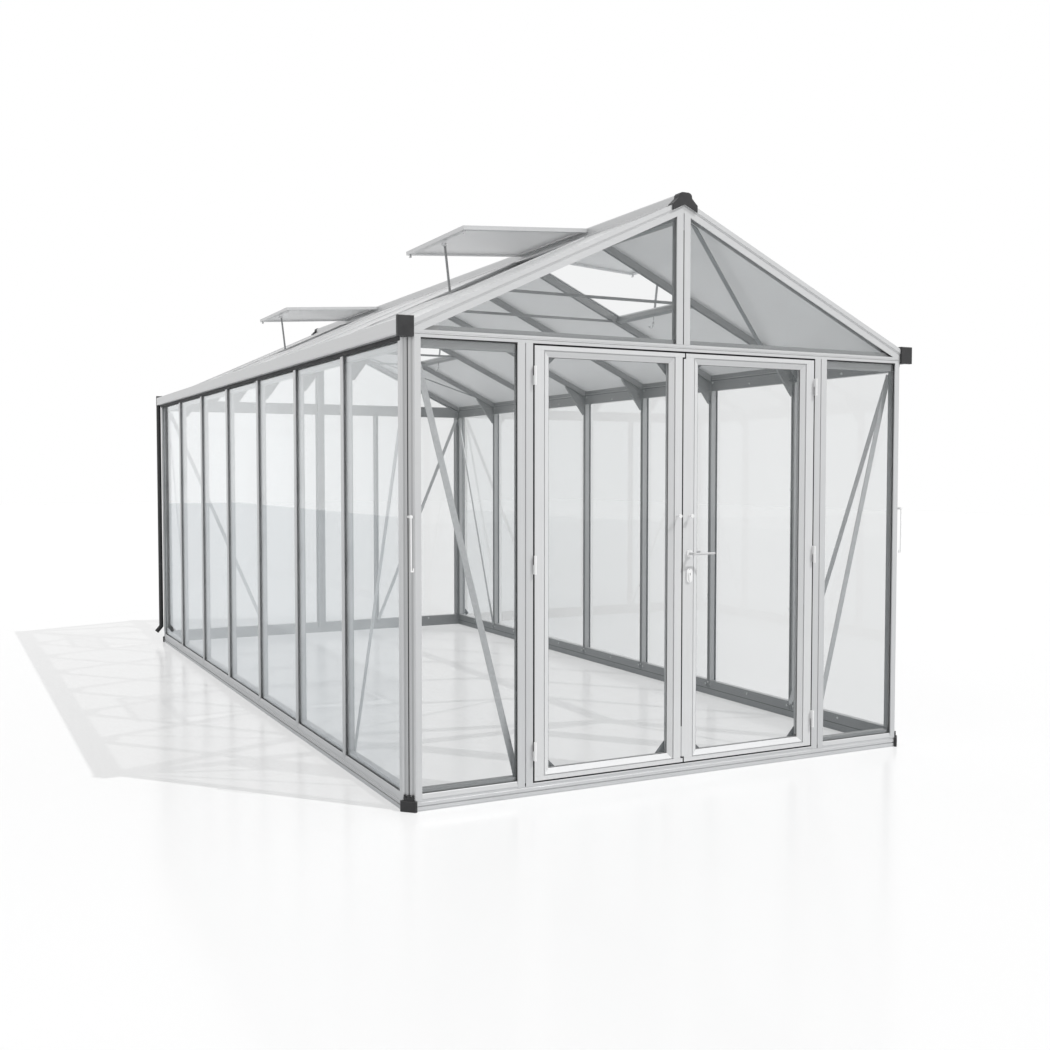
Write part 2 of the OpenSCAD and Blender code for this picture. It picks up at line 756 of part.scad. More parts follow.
// A pane between two webs; its inner face lies on the bars' inner boxes
module pane(x0, x1, z0, z1) { translate([x0, pane_y, z0]) cube([x1 - x0, pane_t, z1 - z0]); }

corner_edge = corner_web + pane_gap;
module side_panes() {
    ends = concat([-half_l + corner_edge],
        [for (i = [0:bays - 2]) side_x(i) + web_half + pane_gap]);
    stops = concat([for (i = [0:bays - 2]) side_x(i) - web_half - pane_gap],
        [half_l - corner_edge]);
    for (i = [0:bays - 1]) pane(ends[i], stops[i], pane_z0, eaves_h + 4);
}
module glass_left() { color(clear) on_left() side_panes(); }
module glass_right() { color(clear) on_right() side_panes(); }

// Half of a gable's glazing, beside the king post
module gable_pane() {
    x0 = 19 + pane_gap;
    x1 = half_w - 160;
    drop = (gable_web_d + 1) / slope_cos;
    translate([0, pane_y + pane_t, 0]) rotate([90, 0, 0])
        linear_extrude(pane_t)
            polygon([[x0, eaves_h + 20], [x1, eaves_h + 20], [x1, roof_z(x1) - drop],
                [x0, roof_z(x0) - drop]]);
}
module glass_front() {
    color(clear)
    on_front() {
        for (s = [0, 1])
            mirror([s, 0, 0]) {
                pane(doorway_w / 2 + jamb_w / 2 + 19 + pane_gap, half_w - corner_edge, pane_z0, eaves_h);
                gable_pane();
            }
    }
}
module glass_back() {
    color(clear)
    on_back()
    for (s = [0, 1])
        mirror([s, 0, 0]) {
            pane(back_post_off + web_half + pane_gap, half_w - corner_edge, pane_z0, eaves_h);
            pane(19 + pane_gap, back_post_off - web_half - pane_gap, pane_z0, eaves_h);
            gable_pane();
        }
}

vent_x0 = slope_len - vent_reach / slope_cos;
trimmer_w = 30;
trimmer_lip = 8;
// Sheets of one slope; the sheet in a vent's bay stops at the vent's lower edge
module slope_sheets() {
    ys = concat([sheet_edge], [for (y = bar_y) y + web_half + 1]);
    ye = concat([for (y = bar_y) y - web_half - 1], [house_l - sheet_edge]);
    for (i = [0:bays - 1]) {
        is_vent = i == vent_bays[0] || i == vent_bays[1];
        top = is_vent ? vent_x0 + trimmer_lip : slope_len - (keel_half + 12) / slope_cos;
        translate([-12, ys[i], -cap_t - channel_t])
            cube([top + 12, ye[i] - ys[i], channel_t]);
    }
}
module roof_sheets_left() { color(opal) on_left_slope() slope_sheets(); }
module roof_sheets_right() { color(opal) on_right_slope() slope_sheets(); }

// ---------------------------------------------------------------- vents

// Cross bar under a vent's lower edge
module vent_trimmers() {
    depth = bar_d - 6;
    color(silver)
    for (i = vent_bays) {
        on_left_slope() trimmer(corner_extra + i * bay_w, depth);
        on_right_slope() trimmer(corner_extra + i * bay_w, depth);
    }
}
module trimmer(y, depth) {
    translate([vent_x0, y + bar_box_w / 2, -depth])
        difference() {
            translate([0, 0, 0]) cube([trimmer_w, bay_w - bar_box_w, depth - cap_t - 1]);
            translate([trimmer_lip + skin_t, -1, skin_t])
                cube([trimmer_w - trimmer_lip - 2 * skin_t, bay_w, depth - cap_t - 1 - 2 * skin_t]);
            // rebates for the sheet's edge and for the webs of the bars at the sides
            translate([-1, -1, depth - cap_t - channel_t]) cube([trimmer_lip + 1, bay_w, channel_t + 1]);
        }
}

flap_tilt = roof_pitch - vent_open;
flap_hinge_z = 20;
flap_t = 20;
flap_rim = 32;
flap_len = (vent_reach - crest_half) / slope_cos + 12;
flap_w = bay_w - 22;
sheet_in = flap_rim - 12;
// Each vent's own frame: x outwards from the ridge's middle, y along the bay
module each_vent() {
    for (i = vent_bays, s = [0, 1])
        mirror([s, 0, 0])
            translate([0, front_y + corner_extra + i * bay_w, roof_ridge_z]) children();
}
// A propped flap lies level along x, its top at z = 0, and is then tilted about its hinge
module on_flap() {
    translate([crest_half, 0, flap_hinge_z]) rotate([0, flap_tilt, 0])
        translate([0, (bay_w - flap_w) / 2, -flap_t]) children();
}
module vent_frames() {
    color(silver)
    each_vent()
    difference() {
        on_flap()
            difference() {
                translate([-10, 0, 0]) cube([flap_len + 10, flap_w, flap_t]);
                translate([flap_rim, flap_rim, -1])
                    cube([flap_len - 2 * flap_rim, flap_w - 2 * flap_rim, 50]);
                translate([sheet_in, sheet_in, 6])
                    cube([flap_len - 2 * sheet_in, flap_w - 2 * sheet_in, channel_t]);
            }
        // plumb end against the ridge bar's crest
        translate([crest_half - 100, -1, -100]) cube([100, bay_w, 200]);
    }
}
module vent_sheets() {
    color(opal)
    each_vent()
    on_flap()
    translate([sheet_in, sheet_in, 6]) cube([flap_len - 2 * sheet_in, flap_w - 2 * sheet_in, channel_t]);
}
// Strut from the trimmer up to the flap's lower rim
module vent_stays() {
    foot_x = vent_reach - 20;
    foot_z = -foot_x * slope_tan - (cap_t + 1) / slope_cos;
    head_x = vent_reach + 10;
    head_z = flap_hinge_z - (head_x - crest_half) * tan(flap_tilt) - flap_t / cos(flap_tilt);
    color(inner_grey)
    each_vent()
    translate([0, bay_w / 2 + 2, 0]) rotate([90, 0, 0])
        linear_extrude(4)
            polygon([[foot_x - 6, foot_z + 6 * slope_tan], [foot_x + 6, foot_z - 6 * slope_tan],
                [head_x + 6, head_z - 6 * tan(flap_tilt)], [head_x - 6, head_z + 6 * tan(flap_tilt)]]);
}

// ---------------------------------------------------------------- doors

hinge_x = doorway_w / 2 - leaf_gap / 2;
hinge_y = -12;
knuckle_r = 6;
pin_r = 3;
pin_clearance = 0.05;
hinge_plate_t = 1.9;
leaf_w = doorway_w / 2 - 1.5 * leaf_gap;
leaf_z0 = threshold_h + leaf_gap;
leaf_z1 = eaves_h - leaf_gap - 1;
gusset_t = 3;
hinge_half = 40;
hinge_z = [leaf_z0 + 131, (leaf_z0 + leaf_z1) / 2, leaf_z1 - 128];

// A leaf's own frame: x from its meeting edge to its hinge edge, y inwards, z up. The
// right leaf stands as drawn and the left one is its mirror image.
module on_right_leaf() { on_front() translate([leaf_gap / 2, 0, 0]) children(); }
module on_left_leaf() { mirror([1, 0, 0]) on_right_leaf() children(); }

// Groove between a leaf's flat face and its glazing bead
leaf_groove_w = 5;
leaf_groove_d = 7;
// The bead slopes back to the glass from its outer edge
bead_y0 = 2;
bead_y1 = 14;
glass_y = 16.5;
glass_grip = 8;
border_w = leaf_groove_w + bead_w;
// How far the left leaf's rails reach past its meeting stile, into notches in the right one
rail_lap = 12.5;

// Block inside a leaf's flat faces, drawn in by the same distance all round
module leaf_inside(meet_w, inset, y0, y1) {
    translate([meet_w + inset, y0, leaf_z0 + rail_face_w + inset])
        cube([leaf_w - meet_w - stile_face_w - 2 * inset, y1 - y0,
            leaf_z1 - leaf_z0 - 2 * rail_face_w - 2 * inset]);
}
// The space in front of the sloping beads
module bead_space(meet_w) {
    x0 = meet_w + leaf_groove_w;
    x1 = leaf_w - stile_face_w - leaf_groove_w;
    z0 = leaf_z0 + rail_face_w + leaf_groove_w;
    z1 = leaf_z1 - rail_face_w - leaf_groove_w;
    intersection() {
        linear_extrude(eaves_h)
            polygon([[x0, -1], [x1, -1], [x1, bead_y0], [x1 - bead_w, bead_y1], [x0 + bead_w, bead_y1],
                [x0, bead_y0]]);
        rotate([90, 0, 90]) linear_extrude(leaf_w)
            polygon([[-1, z0], [bead_y0, z0], [bead_y1, z0 + bead_w], [bead_y1, z1 - bead_w],
                [bead_y0, z1], [-1, z1]]);
    }
}
// Hairline where a rail meets a stile: level across the flat face, mitred through the bead
module corner_line(face_w) {
    hair = 0.3;
    translate([-rail_lap - 1, -1, rail_face_w - hair / 2]) cube([rail_lap + 1 + face_w, leaf_t + 2, hair]);
    translate([face_w, -1, rail_face_w])
        rotate([0, -45, 0]) translate([-hair / 2, 0, -hair / 2]) cube([100, leaf_t + 2, hair]);
}
// Two rails and two stiles round a glazed opening
module leaf_frame(meet_w) {
    difference() {
        translate([0, 0, leaf_z0]) cube([leaf_w, leaf_t, leaf_z1 - leaf_z0]);
        children();
        difference() {
            leaf_inside(meet_w, 0, -1, leaf_groove_d);
            leaf_inside(meet_w, leaf_groove_w, -2, leaf_groove_d + 1);
        }
        bead_space(meet_w);
        leaf_inside(meet_w, border_w, -1, leaf_t + 1);
        leaf_inside(meet_w, border_w - glass_grip - 2, glass_y - 0.5, glass_y + pane_t);
        for (v = [0, 1])
            translate([0, 0, v * (leaf_z0 + leaf_z1)]) mirror([0, 0, v]) translate([0, 0, leaf_z0]) {
                corner_line(meet_w);
                translate([leaf_w, 0, 0]) mirror([1, 0, 0]) corner_line(stile_face_w);
            }
    }
}
module leaf_glass(meet_w) {
    leaf_inside(meet_w, border_w - glass_grip, glass_y, glass_y + pane_t);
}
module leaf_gussets() {
    leg = 88;
    inner = 14;
    for (x = [0, 1], z = [0, 1])
        translate([x * leaf_w, leaf_t, z * (leaf_z1 - leaf_z0) + leaf_z0])
            mirror([x, 0, 0]) mirror([0, 0, z])
                translate([0, gusset_t, 0]) rotate([90, 0, 0])
                    linear_extrude(gusset_t)
                        polygon([[inner, inner], [leg, inner], [leg, 24], [24, leg], [inner, leg]]);
}
// Hinge half: a knuckle outside the gap, and a plate into the gap on the leaf's or jamb's edge
module hinge_half_body() {
    cylinder(h = hinge_half, r = knuckle_r);
    translate([-leaf_gap / 2, 3, 0]) cube([hinge_plate_t, 30, hinge_half]);
}
// Upper half of each hinge, on the leaf
module leaf_hinges() {
    for (z = hinge_z)
        translate([hinge_x - leaf_gap / 2, hinge_y, z])
            difference() {
                translate([0, 0, 0.3]) hinge_half_body();
                translate([0, 0, -5]) cylinder(h = hinge_half + 10, r = pin_r + pin_clearance);
            }
}
module leaf_knob() {
    translate([0, 0, knob_h]) rotate([90, 0, 0]) {
        cylinder(h = knob_out - 8, r = 4);
        translate([0, 0, knob_out - 8]) cylinder(h = 8, r = 9);
    }
}

module door_left_frame() {
    color(silver)
    on_left_leaf() {
        leaf_frame(meet_left_w);
        for (z = [leaf_z0, leaf_z1 - rail_face_w])
            translate([-rail_lap, 0, z + 0.15]) cube([rail_lap + 1, leaf_t, rail_face_w - 0.3]);
    }
}
module door_left_glass() { color(clear) on_left_leaf() leaf_glass(meet_left_w); }
module door_left_gussets() { color(inner_grey) on_left_leaf() leaf_gussets(); }
module door_left_fittings() {
    color(white)
    on_left_leaf() {
        leaf_hinges();
        translate([24, 0, 0]) leaf_knob();
    }
}
module door_right_frame() {
    color(silver)
    on_right_leaf()
    leaf_frame(meet_right_w) {
        // notches for the left leaf's rails
        for (z = [leaf_z0 - 1, leaf_z1 - rail_face_w - leaf_gap])
            translate([-1, -1, z]) cube([rail_lap + 1, leaf_t + 2, rail_face_w + leaf_gap + 1]);
        // the lever's spindle goes through
        translate([lever_x, -1, lever_h]) rotate([-90, 0, 0]) cylinder(h = leaf_t + 2, r = spindle_hole_r);
    }
}
module door_right_glass() { color(clear) on_right_leaf() leaf_glass(meet_right_w); }
module door_right_gussets() { color(inner_grey) on_right_leaf() leaf_gussets(); }

lever_x = 34;
lock_drop = 100;
spindle_r = 7;
spindle_hole_r = 8.5;
module door_right_fittings() {
    color(white)
    on_right_leaf() {
        leaf_hinges();
        translate([lever_x, 0, 0]) leaf_knob();
        // round rose with the spindle's bore, outside and inside
        for (y = [0, leaf_t + 8])
            translate([lever_x, y, lever_h]) rotate([90, 0, 0])
                difference() {
                    cylinder(h = 8, r = 16);
                    translate([0, 0, -1]) cylinder(h = 10, r = spindle_r + pin_clearance);
                }
        // oval plate and key cylinder
        translate([lever_x, 0, lever_h - lock_drop]) rotate([90, 0, 0]) {
            linear_extrude(6) {
                translate([0, 18]) circle(r = 15);
                translate([0, -18]) circle(r = 15);
                rect(-15, -18, 15, 18);
            }
            linear_extrude(10) {
                translate([0, 6]) circle(r = 8.5);
                rect(-5, -20, 5, 6);
            }
        }
    }
}

// Outer and inner lever on one spindle
module lever_handle() {
    neck = knob_out + 20;
    grip_r = 5.5;
    color(white)
    on_right_leaf()
    translate([lever_x, 0, lever_h]) {
        translate([0, -neck, 0]) rotate([-90, 0, 0]) cylinder(h = leaf_t + 2 * neck, r = spindle_r);
        for (s = [0, 1])
            translate([0, s * leaf_t, 0]) mirror([0, s, 0])
                translate([0, -neck + grip_r + 1, 0]) rotate([0, 90, 0])
                    rotate_extrude()
                        union() {
                            rect(0, 0, grip_r, lever_len - grip_r);
                            intersection() {
                                translate([0, lever_len - grip_r]) circle(r = grip_r);
                                rect(0, 0, grip_r + 1, lever_len + 1);
                            }
                        }
    }
}

// ---------------------------------------------------------------- hooks and fixed hinge halves

hook_eye_z = 1215;
hook_len = 225;
// Distance of a hook from the side wall's outer face
hook_in = 25;
hook_pin_r = 3;
module wall_fittings() {
    color(white) {
        on_front()
        for (s = [0, 1], z = hinge_z)
            mirror([s, 0, 0])
                translate([hinge_x, hinge_y, z])
                    union() {
                        translate([0, 0, -hinge_half]) mirror([1, 0, 0]) hinge_half_body();
                        translate([0, 0, -1]) cylinder(h = hinge_half - 2, r = pin_r);
                    }
        // hook eyes on the front corner posts
        for (s = [0, 1])
            mirror([s, 0, 0])
                translate([-half_w + hook_in, front_y, hook_eye_z])
                    difference() {
                        rotate([90, 0, 0]) union() {
                            translate([0, 0, -60]) cylinder(h = 60 + 1, r = 5.5);
                            translate([0, 0, 0]) cylinder(h = 9, r = hook_pin_r);
                        }
                        // lies flat on the chamfer
                        translate([0, corner_chamfer - hook_in, 0]) rotate([0, 0, 45])
                            translate([0, -75, -50]) cube([150, 150, 100]);
                    }
    }
}
module hold_hook() {
    translate([-half_w + hook_in, front_y - 5, hook_eye_z]) {
        rotate([90, 0, 0])
            difference() {
                union() {
                    cylinder(h = 5, r = 7.5, center = true);
                    translate([0, -hook_len / 2, 0]) cube([5, hook_len, 4], center = true);
                    translate([5, -hook_len + 3, 0]) cube([14, 6, 4], center = true);
                    translate([10, -hook_len + 8, 0]) cube([4, 16, 4], center = true);
                }
                cylinder(h = 20, r = hook_pin_r + pin_clearance, center = true);
            }
    }
}
module hold_hook_left() { color(white) hold_hook(); }
module hold_hook_right() { color(white) mirror([1, 0, 0]) hold_hook(); }

// ---------------------------------------------------------------- output
sill_front();
sill_back();
sill_left();
sill_right();
base_feet();
corner_posts();
wall_bars_left();
wall_bars_right();
door_jambs();
back_posts();
king_posts();
tie_beam_front();
tie_beam_back();
eaves_gutter_left();
eaves_gutter_right();
gutter_caps();
downpipes();
gable_bars();
ridge_bar();
ridge_caps();
rafters_left();
rafters_right();
collar_ties();
haunch_plates();
wall_braces();
roof_braces();
glass_left();
glass_right();
glass_front();
glass_back();
roof_sheets_left();
roof_sheets_right();
vent_trimmers();
vent_frames();
vent_sheets();
vent_stays();
wall_fittings();
door_left_frame();
door_left_glass();
door_left_gussets();
door_left_fittings();
door_right_frame();
door_right_glass();
door_right_gussets();
door_right_fittings();
lever_handle();
hold_hook_left();
hold_hook_right();
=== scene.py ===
import bmesh
import bpy
import math
from mathutils import Matrix, Vector


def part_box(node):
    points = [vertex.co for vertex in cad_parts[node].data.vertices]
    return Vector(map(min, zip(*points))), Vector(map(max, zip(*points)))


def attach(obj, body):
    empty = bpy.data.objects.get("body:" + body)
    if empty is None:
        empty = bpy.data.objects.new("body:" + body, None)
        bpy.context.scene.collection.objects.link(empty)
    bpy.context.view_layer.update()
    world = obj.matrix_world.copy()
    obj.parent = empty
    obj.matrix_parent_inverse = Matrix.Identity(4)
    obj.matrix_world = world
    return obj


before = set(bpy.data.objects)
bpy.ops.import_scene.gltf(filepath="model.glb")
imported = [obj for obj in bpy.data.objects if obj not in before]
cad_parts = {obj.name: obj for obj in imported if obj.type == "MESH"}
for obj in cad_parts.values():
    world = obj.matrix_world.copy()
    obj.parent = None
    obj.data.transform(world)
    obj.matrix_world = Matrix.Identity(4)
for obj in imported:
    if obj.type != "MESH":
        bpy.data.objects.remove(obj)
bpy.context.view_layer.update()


# ---------------------------------------------------------------- measures taken from the frame
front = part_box("sill_front")[0][1]
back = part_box("sill_back")[1][1]
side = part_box("sill_right")[1][0]
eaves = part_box("corner_posts")[1][2]
slope = math.radians(25.0)
bar_depth = 0.05
inside = side - bar_depth

# the bars of each side wall, and the middles of the bays between them
bar_count = 6
corner_extra = 0.02
cap_half = 0.017
bar_low, bar_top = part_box("wall_bars_left")
bay = (bar_top[1] - bar_low[1] - 2 * cap_half) / (bar_count - 1)
bars = [bar_low[1] + cap_half + bay * i for i in range(bar_count)]
bay_middles = [front + corner_extra + bay * (i + 0.5) for i in range(bar_count + 1)]

# the door leaves, and the jambs beside them
leaf_low, leaf_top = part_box("door_right_frame")
left_leaf_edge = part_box("door_left_frame")[0][0]
left_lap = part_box("door_left_frame")[1][0]
leaf_gap = 0.007
jamb_edge = leaf_top[0] + leaf_gap
jamb_w = 0.074
leaves = (("left", left_leaf_edge, -leaf_low[0]), ("right", leaf_low[0], leaf_top[0]))


# ---------------------------------------------------------------- finishes
def new_finish(name):
    """A finish with its nodes, their links and the shader at their end."""
    finish = bpy.data.materials.new(name)
    finish.use_nodes = True
    nodes = finish.node_tree.nodes
    return finish, nodes, finish.node_tree.links, nodes["Principled BSDF"]


def place_on_piece(nodes, links, turn=(0, 0, 0), stretch=(1, 1, 1)):
    """Where a point is on its piece, turned and stretched to suit the grain."""
    coords = nodes.new("ShaderNodeTexCoord")
    mapping = nodes.new("ShaderNodeMapping")
    mapping.inputs["Rotation"].default_value = turn
    mapping.inputs["Scale"].default_value = stretch
    links.new(coords.outputs["Object"], mapping.inputs["Vector"])
    return mapping.outputs["Vector"]


def cloudy(nodes, links, where, scale, detail):
    """Soft uneven shade, from 0 to 1."""
    noise = nodes.new("ShaderNodeTexNoise")
    noise.inputs["Scale"].default_value = scale
    noise.inputs["Detail"].default_value = detail
    links.new(where, noise.inputs["Vector"])
    return noise.outputs["Fac"]


def ramp(nodes, links, value, low, high, low_at=0.3, high_at=0.7):
    """Colour that goes from low to high as a shade does."""
    colours = nodes.new("ShaderNodeValToRGB")
    first, last = colours.color_ramp.elements
    first.position = low_at
    first.color = (*low, 1)
    last.position = high_at
    last.color = (*high, 1)
    links.new(value, colours.inputs["Fac"])
    return colours.outputs["Color"]


def spread(nodes, links, value, low, high, from_low=0.3, from_high=0.7):
    """Number that goes from low to high as a shade or a place does."""
    span = nodes.new("ShaderNodeMapRange")
    span.inputs["From Min"].default_value = from_low
    span.inputs["From Max"].default_value = from_high
    span.inputs["To Min"].default_value = low
    span.inputs["To Max"].default_value = high
    links.new(value, span.inputs["Value"])
    return span.outputs["Result"]


def relief(nodes, links, height, depth, strength):
    """Fine relief of the given depth in metres."""
    bump = nodes.new("ShaderNodeBump")
    bump.inputs["Strength"].default_value = strength
    bump.inputs["Distance"].default_value = depth
    links.new(height, bump.inputs["Height"])
    return bump.outputs["Normal"]


def reckoned(nodes, links, operation, first, second=0.0):
    """One step of arithmetic on places or shades."""
    step = nodes.new("ShaderNodeMath")
    step.operation = operation
    for socket, value in zip(step.inputs, (first, second)):
        if isinstance(value, float):
            socket.default_value = value
        else:
            links.new(value, socket)
    return step.outputs[0]


def place_in_house(nodes, links):
    """How far a point is from the middle of the house: across, along, and its height."""
    coords = nodes.new("ShaderNodeTexCoord")
    axes = nodes.new("ShaderNodeSeparateXYZ")
    links.new(coords.outputs["Object"], axes.inputs[0])
    across = reckoned(nodes, links, "ABSOLUTE", axes.outputs[0])
    middle = (front + back) / 2
    along = reckoned(nodes, links, "ABSOLUTE", reckoned(nodes, links, "SUBTRACT", axes.outputs[1], middle))
    return across, along, axes.outputs[2]


def painted_inner_shade(nodes, links):
    """Painted shade: 1 on the inner faces of the bars, which are coloured darker as if out of the light; 0 on
    the bright outer caps.
    """
    across, along, height = place_in_house(nodes, links)
    drop = reckoned(nodes, links, "ADD", height, reckoned(nodes, links, "MULTIPLY", across, math.tan(slope)))
    half_long = (back - front) / 2
    deep, inner, step = 0.0161, 0.0465, 0.0004
    roof_rise = 0.0515
    behind_cap = spread(nodes, links, across, 0.35, 0.0, side - deep, side - deep + step)
    inner_face = spread(nodes, links, across, 0.65, 0.0, side - inner, side - inner + step)
    within = reckoned(nodes, links, "ADD", behind_cap, inner_face)
    within_along = spread(nodes, links, along, 1.0, 0.0, half_long - deep, half_long - deep + step)
    roof = eaves + roof_rise + side * math.tan(slope) - deep / math.cos(slope)
    under = spread(nodes, links, drop, 1.0, 0.0, roof, roof + step)
    walls = reckoned(nodes, links, "MULTIPLY", within, within_along)
    return reckoned(nodes, links, "MULTIPLY", walls, under)


def painted_flute_shade(nodes, links):
    """Painted shade: 1 at the bottom of the two flutes down a corner post's slanted face, fading to 0 at
    their edges.
    """
    flute_off, bottom, edge = 0.017, 0.0015, 0.0075
    across, along = place_in_house(nodes, links)[:2]
    shift = (side - (back - front) / 2) / math.sqrt(2)
    lead = reckoned(nodes, links, "SUBTRACT", across, along)
    skew = reckoned(nodes, links, "MULTIPLY", lead, math.sqrt(0.5))
    off_centre = reckoned(nodes, links, "ABSOLUTE", reckoned(nodes, links, "SUBTRACT", skew, shift))
    off_flute = reckoned(nodes, links, "ABSOLUTE", reckoned(nodes, links, "SUBTRACT", off_centre, flute_off))
    return spread(nodes, links, off_flute, 1.0, 0.0, bottom, edge)


def anodised(
    name, low, high, run, metallic=0.42, rough=(0.30, 0.40), turn=(0, 0, 0), painted_shade_level=0.46, fluted=False
):
    """Satin aluminium with faint draw lines along the bar, and painted shade that darkens the inner boxes."""
    finish, nodes, links, shader = new_finish(name)
    across, along = 190.0, 2.2
    line_part, cloud_part, flute_dark = 0.6, 0.4, 0.55
    stretch = [across, across, across]
    stretch["xyz".index(run)] = along
    lines = cloudy(nodes, links, place_on_piece(nodes, links, turn, stretch), 1.0, 2.0)
    cloud = cloudy(nodes, links, place_on_piece(nodes, links), 5.0, 4.0)
    line_shade = reckoned(nodes, links, "MULTIPLY", lines, line_part)
    cloud_shade = reckoned(nodes, links, "MULTIPLY", cloud, cloud_part)
    shade = reckoned(nodes, links, "ADD", line_shade, cloud_shade)
    # Painted shade: darker copies of the colours for the inner faces, as if out of the light.
    shaded_low = [c * painted_shade_level * 0.93 for c in low]
    shaded_high = [c * painted_shade_level * 1.04 for c in high]
    painted_shade = painted_inner_shade(nodes, links)
    # On the corner posts, painted shade at the bottom of the flutes as well.
    if fluted:
        shaded = reckoned(nodes, links, "MULTIPLY", painted_flute_shade(nodes, links), flute_dark)
        painted_shade = reckoned(nodes, links, "MAXIMUM", painted_shade, shaded)
    coat = nodes.new("ShaderNodeMix")
    coat.data_type = "RGBA"
    links.new(painted_shade, coat.inputs["Factor"])
    links.new(ramp(nodes, links, shade, low, high), coat.inputs["A"])
    links.new(ramp(nodes, links, shade, shaded_low, shaded_high), coat.inputs["B"])
    links.new(coat.outputs["Result"], shader.inputs["Base Color"])
    links.new(spread(nodes, links, shade, *rough), shader.inputs["Roughness"])
    links.new(relief(nodes, links, lines, 0.0002, 0.25), shader.inputs["Normal"])
    shader.inputs["Metallic"].default_value = metallic
    return finish


def clear_pane(name, through, glancing, low, high):
    """Clear sheet, a little grey looked straight through, that mirrors more the flatter it is seen."""
    finish, nodes, links, shader = new_finish(name)
    cloud = cloudy(nodes, links, place_on_piece(nodes, links), 0.9, 1.0)
    links.new(spread(nodes, links, cloud, 0.015, 0.03), shader.inputs["Roughness"])
    glance = nodes.new("ShaderNodeLayerWeight")
    glance.inputs["Blend"].default_value = 0.5
    flat = glance.outputs["Facing"]
    links.new(ramp(nodes, links, flat, through, glancing, 0.40, 0.75), shader.inputs["Base Color"])
    links.new(spread(nodes, links, flat, low, high, 0.40, 0.85), shader.inputs["Alpha"])
    shader.inputs["Metallic"].default_value = 1.0
    return finish


def opal_sheet(name, turn, low, high, solid):
    """Twin-wall sheet whose ribs show as faint lines down the slope; lamps shine through it."""
    rib_step, step_at_scale_one = 0.016, 0.314
    let_through = 0.72
    finish, nodes, links, shader = new_finish(name)
    where = place_on_piece(nodes, links, turn)
    ribs = nodes.new("ShaderNodeTexWave")
    ribs.wave_type = "BANDS"
    ribs.bands_direction = "Y"
    ribs.inputs["Scale"].default_value = step_at_scale_one / rib_step
    ribs.inputs["Distortion"].default_value = 0.0
    links.new(where, ribs.inputs["Vector"])
    thin = spread(nodes, links, ribs.outputs["Fac"], 0.0, 1.0, 0.75, 1.0)
    cloud = cloudy(nodes, links, where, 2.5, 1.0)
    links.new(ramp(nodes, links, cloud, low, high), shader.inputs["Base Color"])
    shader.inputs["Roughness"].default_value = 0.28
    links.new(relief(nodes, links, thin, 0.0003, 0.2), shader.inputs["Normal"])
    path = nodes.new("ShaderNodeLightPath")
    passed = reckoned(nodes, links, "MULTIPLY", path.outputs["Is Shadow Ray"], let_through)
    held_back = reckoned(nodes, links, "SUBTRACT", 1.0, passed)
    body = spread(nodes, links, thin, solid, solid + 0.05, 0.0, 1.0)
    links.new(reckoned(nodes, links, "MULTIPLY", body, held_back), shader.inputs["Alpha"])
    return finish


def moulded(name, low, high, rough=(0.42, 0.56), grain=900.0, depth=0.00012):
    """Moulded plastic with a fine grain."""
    finish, nodes, links, shader = new_finish(name)
    where = place_on_piece(nodes, links)
    grains = cloudy(nodes, links, where, grain, 2.0)
    cloud = cloudy(nodes, links, where, 26.0, 4.0)
    links.new(ramp(nodes, links, cloud, low, high), shader.inputs["Base Color"])
    links.new(spread(nodes, links, cloud, *rough), shader.inputs["Roughness"])
    links.new(relief(nodes, links, grains, depth, 0.5), shader.inputs["Normal"])
    return finish


def rolled(name, low, high, metallic, rough=(0.3, 0.46)):
    """Bright rolled strip with the soft spangle of plated metal."""
    finish, nodes, links, shader = new_finish(name)
    where = place_on_piece(nodes, links)
    spangle = nodes.new("ShaderNodeTexVoronoi")
    spangle.inputs["Scale"].default_value = 130.0
    links.new(where, spangle.inputs["Vector"])
    grey = nodes.new("ShaderNodeSeparateColor")
    links.new(spangle.outputs["Color"], grey.inputs["Color"])
    links.new(ramp(nodes, links, grey.outputs[0], low, high, 0.0, 1.0), shader.inputs["Base Color"])
    links.new(spread(nodes, links, grey.outputs[1], *rough, 0.0, 1.0), shader.inputs["Roughness"])
    shader.inputs["Metallic"].default_value = metallic
    return finish


silver = ((0.615, 0.62, 0.625), (0.66, 0.665, 0.67))
pale_silver = ((0.665, 0.67, 0.675), (0.705, 0.71, 0.715))
pane_tints = ((0.37, 0.41, 0.42), (0.90, 0.93, 0.945))
opal = ((0.805, 0.81, 0.815), (0.81, 0.815, 0.82))
soft_black = ((0.018, 0.018, 0.019), (0.032, 0.032, 0.033))
# Painted light and shade: one plated brace strip in two tones, lighter on the wall braces as if lit by the
# key, darker on the roof braces, stays, gussets and leaf corner plates as if in shade.
painted_lit_strap = ((0.55, 0.56, 0.565), (0.63, 0.635, 0.64))
painted_shaded_strap = ((0.24, 0.245, 0.25), (0.31, 0.315, 0.32))
shadow_grey = ((0.06, 0.06, 0.062), (0.085, 0.085, 0.087))
deep_black = ((0.012, 0.012, 0.013), (0.022, 0.022, 0.023))
zinc = ((0.60, 0.605, 0.61), (0.72, 0.725, 0.73))
lever_grey = ((0.56, 0.56, 0.565), (0.62, 0.62, 0.625))
paint_white = ((0.86, 0.86, 0.86), (0.90, 0.90, 0.90))
down_left, down_right = (0, slope, 0), (0, -slope, 0)
